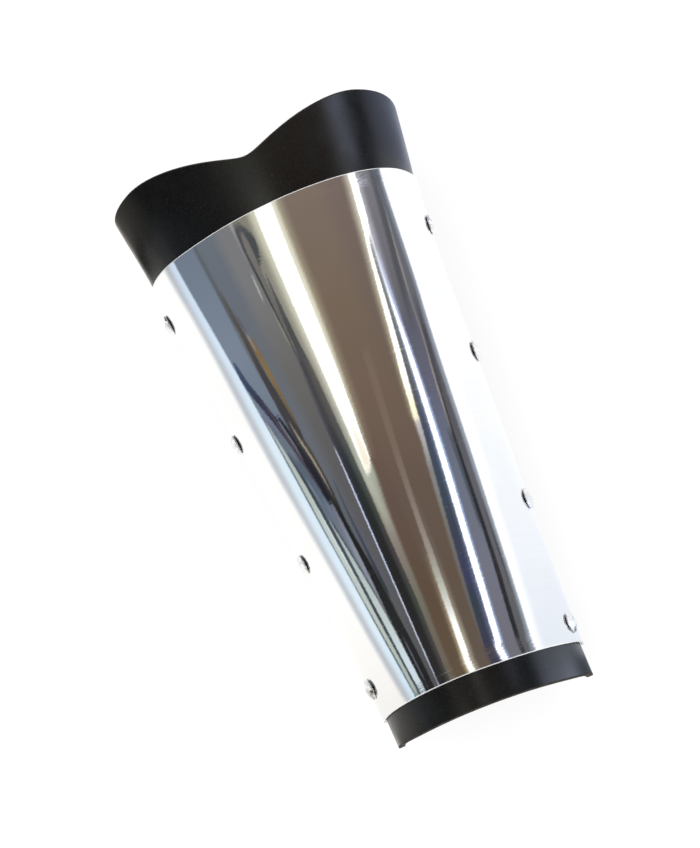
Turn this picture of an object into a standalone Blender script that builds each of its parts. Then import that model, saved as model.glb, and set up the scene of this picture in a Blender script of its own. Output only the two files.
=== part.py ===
"""Forearm gauntlet: a black leather sleeve with a polished metal plate riveted over its front.

The arm runs along Y, elbow end at +Y and wrist end at -Y. The plate faces up (+Z), and the piece
lies on its flattened back, on the two closing straps. The origin is under the middle of the
bounding box. Lengths are in metres and angles in degrees.

Every sheet follows one surface, the outer face of the leather, which is read at a turn and a
place along the arm. The turn is 0 on the crown, 90 at the widest part of the right side, 180 where
the flat back begins, 225 at the leather's back edge and 270 on the back's centre line. The left
side has the same turns below zero.
"""
import math
from collections import namedtuple

import bmesh
import bpy
from mathutils import Matrix, Vector

# ---------------------------------------------------------------- overall form
ELBOW_END = 0.1244        # the outer face's lobes; the slanted cut edge adds 0.4 mm
WRIST_END = -0.1234
LEATHER = 0.0028          # thickness of the leather
PLATE = 0.0010            # thickness of the metal sheet
STRAP = 0.0025            # thickness of the closing straps
GAP = 0.0003              # clearance between touching pieces

CROWN_SHARE = 0.95        # height of the crown over the widest line, in half widths
SIDE_SHARE = 0.62         # height of the widest line over the flat back, in half widths
FLAT_SHARE = 0.42         # half width of the flat back, in half widths
BACK_OPENING = 0.018      # open seam between the leather's two back edges
MIDDLE = -0.0021          # place of the arm's axis, which centres the bounding box on X

SIDE_TURN = 90
FLAT_TURN = 180
SEAM_TURN = 225
CENTRE_TURN = 270

# The sleeve's half width along the arm, and how far its axis leans to the right.
Station = namedtuple("Station", "along half_width lean")
STATIONS = (
    Station(along=-0.125, half_width=0.0415, lean=0.0),
    Station(along=-0.105, half_width=0.0419, lean=0.0003),
    Station(along=-0.063, half_width=0.0444, lean=0.0007),
    Station(along=-0.019, half_width=0.0480, lean=0.0008),
    Station(along=0.025, half_width=0.0515, lean=0.0007),
    Station(along=0.057, half_width=0.0542, lean=0.0006),
    Station(along=0.087, half_width=0.0575, lean=0.0010),
    Station(along=0.098, half_width=0.0589, lean=0.0017),
    Station(along=0.125, half_width=0.0628, lean=0.0023),
)

# ---------------------------------------------------------------- edges of the leather
NOTCH_DEPTH = 0.0146      # the dip between the two lobes, over the crown
NOTCH_TURN = -2           # the dip's centre lies a little left of the crown
NOTCH_SPAN = 54           # turn from the dip's centre to the top of a lobe
NOTCH_POWER = 1.85
NOTCH_ROUND = 4
RIGHT_SHOULDER_TURN = 40  # the elbow edge starts to fall here, towards the back
RIGHT_SHOULDER_FALL = 0.017
LEFT_SHOULDER_TURN = 105
LEFT_SHOULDER_FALL = 0.014
WRIST_CURVE = 0.0016      # the wrist edge draws back this much at both sides
WRIST_CURVE_POWER = 8
WRIST_SKEW = 0.0025       # and stands further out on the right than on the left
WRIST_BACK = 0.010        # it draws back again behind the arm
WRIST_BACK_POWER = 1.3

# ---------------------------------------------------------------- edges of the plate
PLATE_TURN = 94           # the plate reaches just past the widest line on both sides
PLATE_TOP = 0.0909
PLATE_BOTTOM = -0.1094
PLATE_SKEW = 0.0021       # the plate's wrist edge runs slightly askew

# ---------------------------------------------------------------- rivets and straps
CAP_RADIUS = 0.0045
CAP_RISE = 0.0017
CAP_CROWN = 0.0009        # rise of the shallow dome inside the rounded shoulder
CAP_ROUND = 0.0005        # radius of the shoulder
SHANK_RADIUS = 0.0013
HOLE_RADIUS = 0.0016
WASHER_RADIUS = 0.0042
WASHER_HEIGHT = 0.0010
CAP_CLEARANCE = 0.0005    # the flat caps stand this far off the curved sheets

RivetPlace = namedtuple("RivetPlace", "name along turn")
PLATE_RIVETS = (
    RivetPlace(name="rivet_right_1", along=0.0693, turn=82),
    RivetPlace(name="rivet_right_2", along=0.0141, turn=82),
    RivetPlace(name="rivet_right_3", along=-0.0499, turn=78),
    RivetPlace(name="rivet_right_4", along=-0.1029, turn=72),
    RivetPlace(name="rivet_left_1", along=0.0761, turn=-84),
    RivetPlace(name="rivet_left_2", along=0.0191, turn=-82),
    RivetPlace(name="rivet_left_3", along=-0.0370, turn=-79),
    RivetPlace(name="rivet_left_4", along=-0.0943, turn=-75),
)

StrapPlace = namedtuple("StrapPlace", "name along width")
STRAPS = (
    StrapPlace(name="strap_elbow", along=0.068, width=0.022),
    StrapPlace(name="strap_wrist", along=-0.078, width=0.022),
)
STRAP_END_TURN = 128      # how far each strap reaches up the sides
STUD_TURN = 142

# ---------------------------------------------------------------- mesh fineness
LEATHER_COLUMNS = 72
LEATHER_ROWS = 13
PLATE_COLUMNS = 36
PLATE_ROWS = 13
STRAP_COLUMNS = 30
STRAP_ROWS = 2
RIVET_STEPS = 18
DOME_SHARES = (0, 0.55)
SHOULDER_TILTS = (28, 58, 90)
HOLE_SIDES = 12
HOLE_CUT_LENGTH = 0.012
MERGE_DISTANCE = 0.00001
SHARP_ANGLE = 35


# ---------------------------------------------------------------- the common surface
def read_station(column, along):
    """Value of one column of STATIONS at a place along the arm, on a smooth curve."""
    places = [row.along for row in STATIONS]
    values = [getattr(row, column) for row in STATIONS]
    last = len(STATIONS) - 1
    index = max(0, min(last - 1, sum(place <= along for place in places) - 1))

    def slope(at):
        before = max(0, at - 1)
        after = min(last, at + 1)
        return (values[after] - values[before]) / (places[after] - places[before])

    span = places[index + 1] - places[index]
    share = (along - places[index]) / span
    start = values[index] * (2 * share ** 3 - 3 * share ** 2 + 1)
    start_slope = slope(index) * span * (share ** 3 - 2 * share ** 2 + share)
    end = values[index + 1] * (3 * share ** 2 - 2 * share ** 3)
    end_slope = slope(index + 1) * span * (share ** 3 - share ** 2)
    return start + start_slope + end + end_slope


def surface_point(turn, along):
    """Point on the outer face of the leather."""
    half_width = read_station("half_width", along)
    flat_half = half_width * FLAT_SHARE
    side_height = half_width * SIDE_SHARE
    angle = math.radians(abs(turn))
    if abs(turn) <= SIDE_TURN:
        across = half_width * math.sin(angle)
        height = side_height + half_width * CROWN_SHARE * math.cos(angle)
    elif abs(turn) <= FLAT_TURN:
        across = flat_half + (half_width - flat_half) * math.sin(angle)
        height = side_height * (1 + math.cos(angle))
    elif abs(turn) <= SEAM_TURN:
        share = (abs(turn) - FLAT_TURN) / (SEAM_TURN - FLAT_TURN)
        across = flat_half + (BACK_OPENING / 2 - flat_half) * share
        height = 0
    else:
        across = BACK_OPENING / 2 * (CENTRE_TURN - abs(turn)) / (CENTRE_TURN - SEAM_TURN)
        height = 0
    side = 1 if turn > 0 else -1
    middle = MIDDLE + read_station("lean", along)
    return Vector((middle + side * across, along, height + GAP + STRAP))


def surface_normal(turn, along):
    """Outward direction of the leather's outer face."""
    small_turn = 0.5
    small_step = 0.0005
    around = surface_point(turn + small_turn, along) - surface_point(turn - small_turn, along)
    lengthwise = surface_point(turn, along + small_step) - surface_point(turn, along - small_step)
    return around.cross(lengthwise).normalized()


def offset_point(turn, along, outward):
    return surface_point(turn, along) + surface_normal(turn, along) * outward


# ---------------------------------------------------------------- edge curves
def elbow_edge(turn):
    """Place along the arm of the leather's scalloped elbow edge."""
    from_notch = math.hypot(turn - NOTCH_TURN, NOTCH_ROUND)
    dip = NOTCH_DEPTH * max(0, 1 - from_notch / NOTCH_SPAN) ** NOTCH_POWER
    shoulder = RIGHT_SHOULDER_TURN if turn > 0 else LEFT_SHOULDER_TURN
    full_fall = RIGHT_SHOULDER_FALL if turn > 0 else LEFT_SHOULDER_FALL
    past_shoulder = max(0, abs(turn) - shoulder) / (SEAM_TURN - shoulder)
    fall = full_fall * (1 - math.cos(math.pi * past_shoulder)) / 2
    return ELBOW_END - dip - fall


def wrist_edge(turn):
    """Place along the arm of the leather's wrist edge."""
    side = math.sin(math.radians(max(-SIDE_TURN, min(SIDE_TURN, turn))))
    behind = max(0, -math.cos(math.radians(min(FLAT_TURN, abs(turn)))))
    drawn_back = WRIST_BACK * behind ** WRIST_BACK_POWER
    curve = WRIST_CURVE * abs(side) ** WRIST_CURVE_POWER
    return WRIST_END + curve - WRIST_SKEW * side + drawn_back


def plate_bottom(turn):
    return PLATE_BOTTOM - PLATE_SKEW * math.sin(math.radians(turn))


def between(start, end, share):
    return start + (end - start) * share


# ---------------------------------------------------------------- scene helpers
def clear_scene():
    for item in list(bpy.data.objects):
        bpy.data.objects.remove(item, do_unlink=True)


def add_collection(name):
    collection = bpy.data.collections.new(name)
    bpy.context.scene.collection.children.link(collection)
    return collection


def make_material(name, colour, roughness, metallic):
    material = bpy.data.materials.new(name)
    material.use_nodes = True
    shader = material.node_tree.nodes["Principled BSDF"]
    shader.inputs["Base Color"].default_value = (*colour, 1)
    shader.inputs["Roughness"].default_value = roughness
    shader.inputs["Metallic"].default_value = metallic
    return material


def add_object(name, mesh, material, collection):
    item = bpy.data.objects.new(name, mesh)
    mesh.materials.append(material)
    mesh.shade_smooth()
    mesh.set_sharp_from_angle(angle=math.radians(SHARP_ANGLE))
    collection.objects.link(item)
    return item


def add_sheet(name, columns, rows, place, thickness, material, collection):
    """A curved sheet: a flat grid laid on the surface by place(), then given its thickness inward."""
    grid = bmesh.new()
    bmesh.ops.create_grid(grid, x_segments=columns, y_segments=rows, size=0.5)
    for vertex in grid.verts:
        vertex.co = place(vertex.co.x + 0.5, vertex.co.y + 0.5)
    mesh = bpy.data.meshes.new(name)
    grid.to_mesh(mesh)
    grid.free()
    item = add_object(name, mesh, material, collection)
    solidify = item.modifiers.new("thickness", "SOLIDIFY")
    solidify.thickness = thickness
    solidify.offset = -1
    solidify.use_even_offset = True
    return item


def frame_on_surface(turn, along, outward):
    """Placement whose Z axis points out of the surface."""
    normal = surface_normal(turn, along)
    place = Matrix.Translation(offset_point(turn, along, outward))
    return place @ normal.to_track_quat("Z", "Y").to_matrix().to_4x4()


def cut_hole(item, turn, along, cutters):
    """A round rivet hole through a sheet, square to the surface."""
    hole = bmesh.new()
    bmesh.ops.create_cone(
        hole,
        cap_ends=True,
        segments=HOLE_SIDES,
        radius1=HOLE_RADIUS,
        radius2=HOLE_RADIUS,
        depth=HOLE_CUT_LENGTH,
    )
    mesh = bpy.data.meshes.new("hole")
    hole.to_mesh(mesh)
    hole.free()
    cutter = bpy.data.objects.new("hole_in_" + item.name, mesh)
    cutter.matrix_world = frame_on_surface(turn, along, 0)
    cutter.hide_render = True
    cutter.display_type = "WIRE"
    cutters.objects.link(cutter)
    boolean = item.modifiers.new("rivet hole", "BOOLEAN")
    boolean.operation = "DIFFERENCE"
    boolean.solver = "EXACT"
    boolean.object = cutter


# ---------------------------------------------------------------- sub-parts
def make_leather(material, collection):
    def place(across_share, along_share):
        turn = between(-SEAM_TURN, SEAM_TURN, across_share)
        along = between(wrist_edge(turn), elbow_edge(turn), along_share)
        return surface_point(turn, along)

    return add_sheet(
        "leather_base", LEATHER_COLUMNS, LEATHER_ROWS, place, LEATHER, material, collection
    )


def make_plate(material, collection):
    def place(across_share, along_share):
        turn = between(-PLATE_TURN, PLATE_TURN, across_share)
        along = between(plate_bottom(turn), PLATE_TOP, along_share)
        return offset_point(turn, along, GAP + PLATE)

    return add_sheet("metal_plate", PLATE_COLUMNS, PLATE_ROWS, place, PLATE, material, collection)


def make_strap(strap, material, collection):
    """A band under the open back seam, from one side of the sleeve round to the other."""
    reach = CENTRE_TURN - STRAP_END_TURN

    def place(across_share, along_share):
        turn = between(-reach, reach, across_share)
        side = -1 if turn > 0 else 1
        along = strap.along + between(-strap.width / 2, strap.width / 2, along_share)
        return offset_point(side * (CENTRE_TURN - abs(turn)), along, GAP + STRAP)

    return add_sheet(strap.name, STRAP_COLUMNS, STRAP_ROWS, place, STRAP, material, collection)


def rivet_profile(sheet_top, sheet_bottom):
    """Half section of a rivet, (radius, height), from the dome's middle down to the inner cap."""
    underside = sheet_top + CAP_CLEARANCE
    washer_top = sheet_bottom - CAP_CLEARANCE
    shoulder_foot = underside + CAP_RISE - CAP_CROWN - CAP_ROUND
    dome_foot = shoulder_foot + CAP_ROUND * math.cos(math.radians(SHOULDER_TILTS[0]))
    dome_rise = underside + CAP_RISE - dome_foot
    dome_radius = shoulder_radius(SHOULDER_TILTS[0])
    profile = []
    for share in DOME_SHARES:
        profile.append((dome_radius * share, dome_foot + dome_rise * (1 - share ** 2)))
    for tilt in SHOULDER_TILTS:
        height = shoulder_foot + CAP_ROUND * math.cos(math.radians(tilt))
        profile.append((shoulder_radius(tilt), height))
    profile.append((CAP_RADIUS, underside))
    profile.append((SHANK_RADIUS, underside))
    profile.append((SHANK_RADIUS, washer_top))
    profile.append((WASHER_RADIUS, washer_top))
    profile.append((WASHER_RADIUS, washer_top - WASHER_HEIGHT))
    profile.append((0, washer_top - WASHER_HEIGHT))
    return profile


def shoulder_radius(tilt):
    """Distance from the rivet's axis to its shoulder, where the shoulder slopes by tilt."""
    return CAP_RADIUS - CAP_ROUND * (1 - math.sin(math.radians(tilt)))


def make_rivet(name, along, turn, sheet_top, sheet_bottom, material, collection):
    """A turned rivet: domed cap outside, shank through the sheets, flat cap inside."""
    outline = bmesh.new()
    points = [
        outline.verts.new((radius, 0, height))
        for radius, height in rivet_profile(sheet_top, sheet_bottom)
    ]
    for upper, lower in zip(points, points[1:]):
        outline.edges.new((upper, lower))
    mesh = bpy.data.meshes.new(name)
    outline.to_mesh(mesh)
    outline.free()
    item = add_object(name, mesh, material, collection)
    turned = item.modifiers.new("turned", "SCREW")
    turned.axis = "Z"
    turned.steps = RIVET_STEPS
    turned.render_steps = RIVET_STEPS
    turned.use_merge_vertices = True
    turned.merge_threshold = MERGE_DISTANCE
    turned.use_smooth_shade = True
    item.matrix_world = frame_on_surface(turn, along, 0)
    return item


def make_plate_rivets(leather, plate, material, collection, cutters):
    for rivet in PLATE_RIVETS:
        cut_hole(leather, rivet.turn, rivet.along, cutters)
        cut_hole(plate, rivet.turn, rivet.along, cutters)
        make_rivet(
            rivet.name, rivet.along, rivet.turn, GAP + PLATE, -LEATHER, material, collection
        )


def make_straps(leather, leather_material, metal_material, collection, cutters):
    for strap in STRAPS:
        band = make_strap(strap, leather_material, collection)
        for side, sign in (("right", 1), ("left", -1)):
            turn = sign * STUD_TURN
            cut_hole(leather, turn, strap.along, cutters)
            cut_hole(band, turn, strap.along, cutters)
            name = strap.name.replace("strap", "stud") + "_" + side
            make_rivet(
                name, strap.along, turn, GAP + STRAP, -LEATHER, metal_material, collection
            )


def main():
    clear_scene()
    parts = add_collection("leather_gauntlet")
    cutters = add_collection("cutters")
    black_leather = make_material("black_leather", (0.012, 0.012, 0.013), 0.45, 0)
    polished_sheet = make_material("polished_sheet", (0.90, 0.91, 0.92), 0.05, 1)
    polished_rivet = make_material("polished_rivet", (0.80, 0.81, 0.82), 0.12, 1)
    leather = make_leather(black_leather, parts)
    plate = make_plate(polished_sheet, parts)
    make_plate_rivets(leather, plate, polished_rivet, parts, cutters)
    make_straps(leather, black_leather, polished_rivet, parts, cutters)


main()
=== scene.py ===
"""Looks of the forearm gauntlet: a black leather sleeve with a mirror-polished plate riveted on.

Lengths are in metres and angles in degrees. The arm runs along Y with the elbow end at +Y, and the
plate faces up. Every sheet follows the outer face of the leather, read at a turn round the arm (0
on the crown, 90 at the widest part of the right side, 180 where the flat back begins, 225 at the
leather's back edge, 270 on the back's centre line, the left side below zero) and a place along it.
"""
import math
from collections import namedtuple
from functools import lru_cache

import bmesh
import bpy
from mathutils import Matrix, Vector


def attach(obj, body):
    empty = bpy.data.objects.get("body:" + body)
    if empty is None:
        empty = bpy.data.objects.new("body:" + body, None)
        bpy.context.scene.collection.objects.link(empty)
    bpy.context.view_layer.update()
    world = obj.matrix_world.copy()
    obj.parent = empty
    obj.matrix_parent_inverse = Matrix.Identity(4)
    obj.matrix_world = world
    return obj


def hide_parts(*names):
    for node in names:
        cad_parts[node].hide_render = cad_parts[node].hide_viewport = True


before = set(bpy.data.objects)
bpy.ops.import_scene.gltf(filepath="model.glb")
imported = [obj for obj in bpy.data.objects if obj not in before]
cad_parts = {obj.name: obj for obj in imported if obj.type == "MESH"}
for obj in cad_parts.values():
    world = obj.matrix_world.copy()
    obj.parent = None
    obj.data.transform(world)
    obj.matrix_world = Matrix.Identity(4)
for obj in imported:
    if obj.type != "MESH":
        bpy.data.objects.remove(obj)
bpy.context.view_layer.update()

# ---------------------------------------------------------------- the maker's sizes
ELBOW_END = 0.1244
WRIST_END = -0.1234
LEATHER = 0.0028
PLATE = 0.0010
STRAP = 0.0025
LEATHER_EDGE_ROUND = 0.0006
PLATE_EDGE_ROUND = 0.00047
STRAP_EDGE_ROUND = 0.0005
GAP = 0.0003            # between the leather and what lies on it
CROWN_SHARE = 0.95      # the crown's height over the widest line, as a share of the half width
SIDE_SHARE = 0.62       # the widest line's height over the flat back, likewise
FLAT_SHARE = 0.42       # half the width of the flat back, likewise
BACK_OPENING = 0.018
MIDDLE = -0.0021
SIDE_TURN = 90
FLAT_TURN = 180
SEAM_TURN = 225
CENTRE_TURN = 270

# Half the sleeve's width along the arm, and how far it leans to the right of MIDDLE.
Station = namedtuple("Station", "along half_width lean")
STATIONS = (
    Station(along=-0.125, half_width=0.0415, lean=0.0),
    Station(along=-0.105, half_width=0.0419, lean=0.0003),
    Station(along=-0.063, half_width=0.0444, lean=0.0007),
    Station(along=-0.019, half_width=0.0480, lean=0.0008),
    Station(along=0.025, half_width=0.0515, lean=0.0007),
    Station(along=0.057, half_width=0.0542, lean=0.0006),
    Station(along=0.087, half_width=0.0575, lean=0.0010),
    Station(along=0.098, half_width=0.0589, lean=0.0017),
    Station(along=0.125, half_width=0.0628, lean=0.0023),
)

NOTCH_DEPTH = 0.0146
NOTCH_TURN = -2
NOTCH_SPAN = 54
NOTCH_POWER = 1.85
NOTCH_ROUND = 4
RIGHT_SHOULDER_TURN = 40
RIGHT_SHOULDER_FALL = 0.017
LEFT_SHOULDER_TURN = 105
LEFT_SHOULDER_FALL = 0.014
WRIST_CURVE = 0.0016
WRIST_CURVE_POWER = 8
WRIST_SKEW = 0.0025
WRIST_BACK = 0.010
WRIST_BACK_POWER = 1.3

PLATE_TURN = 94
PLATE_TOP = 0.0909      # between these two the surround is laid out by what the plate mirrors
PLATE_BOTTOM = -0.1094
# Where the plate's two ends run, which bow a little round the arm.
PlateEnds = namedtuple("PlateEnds", "turn top bottom")
PLATE_ENDS = (
    PlateEnds(turn=-94, top=0.0918, bottom=-0.1073),
    PlateEnds(turn=-60, top=0.0915, bottom=-0.1076),
    PlateEnds(turn=-36, top=0.0908, bottom=-0.1081),
    PlateEnds(turn=-12, top=0.0910, bottom=-0.1089),
    PlateEnds(turn=12, top=0.0914, bottom=-0.1101),
    PlateEnds(turn=40, top=0.0917, bottom=-0.1111),
    PlateEnds(turn=60, top=0.0913, bottom=-0.1114),
    PlateEnds(turn=75, top=0.0905, bottom=-0.1112),
    PlateEnds(turn=94, top=0.0903, bottom=-0.1112),
)

RivetPlace = namedtuple("RivetPlace", "name along turn")
PLATE_RIVETS = (
    RivetPlace(name="rivet_right_1", along=0.0693, turn=82),
    RivetPlace(name="rivet_right_2", along=0.0141, turn=82),
    RivetPlace(name="rivet_right_3", along=-0.0499, turn=78),
    RivetPlace(name="rivet_right_4", along=-0.1029, turn=72),
    RivetPlace(name="rivet_left_1", along=0.0761, turn=-84),
    RivetPlace(name="rivet_left_2", along=0.0191, turn=-82),
    RivetPlace(name="rivet_left_3", along=-0.0370, turn=-79),
    RivetPlace(name="rivet_left_4", along=-0.0943, turn=-75),
)
StrapPlace = namedtuple("StrapPlace", "name along width")
STRAPS = (
    StrapPlace(name="strap_elbow", along=0.068, width=0.022),
    StrapPlace(name="strap_wrist", along=-0.078, width=0.022),
)
STRAP_END_TURN = 128
STUD_TURN = 142

CAP_RADIUS = 0.0045
CAP_RISE = 0.0017
CAP_CROWN = 0.0014        # rise of the dome inside the rounded shoulder
CAP_ROUND = 0.0003        # radius of the shoulder
CAP_TILT = 34             # slope of the shoulder where it meets the dome
CAP_CLEARANCE = 0.0005    # from the sheets to the level that each cap's height counts from
CAP_LIFT = 0.0001         # from the sheet to the outer cap's foot
CAP_FOOT_SHARE = 0.93
SHANK_RADIUS = 0.0013
WASHER_RADIUS = 0.0042
WASHER_HEIGHT = 0.0010
WASHER_CORNER = 0.0002
WASHER_TOP_SHARE = 0.95
WASHER_FOOT_SHARE = 0.92

# ---------------------------------------------------------------- camera
CAMERA_PLACE = Vector((-0.0021, -0.3200, 1.4806))
CAMERA_TARGET = Vector((-0.0081, 0.0053, 0.0522))
CAMERA_ROLL = -24.23
CAMERA_LENS = 154.78

# ---------------------------------------------------------------- the studio's surround
SURROUND_RADIUS = 0.15
SURROUND_AXIS_HEIGHT = 0.045
SURROUND_FOOT = 0.0004         # it ends just above the floor
SURROUND_TURN = 84             # up to here round the plate, the plate mirrors it
SURROUND_COLUMNS = 400
SURROUND_ROWS = 240
SURROUND_REACH = 1.2           # half its length
SURROUND_FINE_REACH = 0.115    # half the length of its finely divided middle
SURROUND_FINE_SHARE = 0.88     # share of the rows that lie in that middle
SURROUND_SPREAD = 2.6          # how fast the other rows spread out
SHEET_SHINE = 0.91             # share of the light that the plate gives back
FLOOR_RADIUS = 6
FLOOR_GLOW = 0.84

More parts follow.
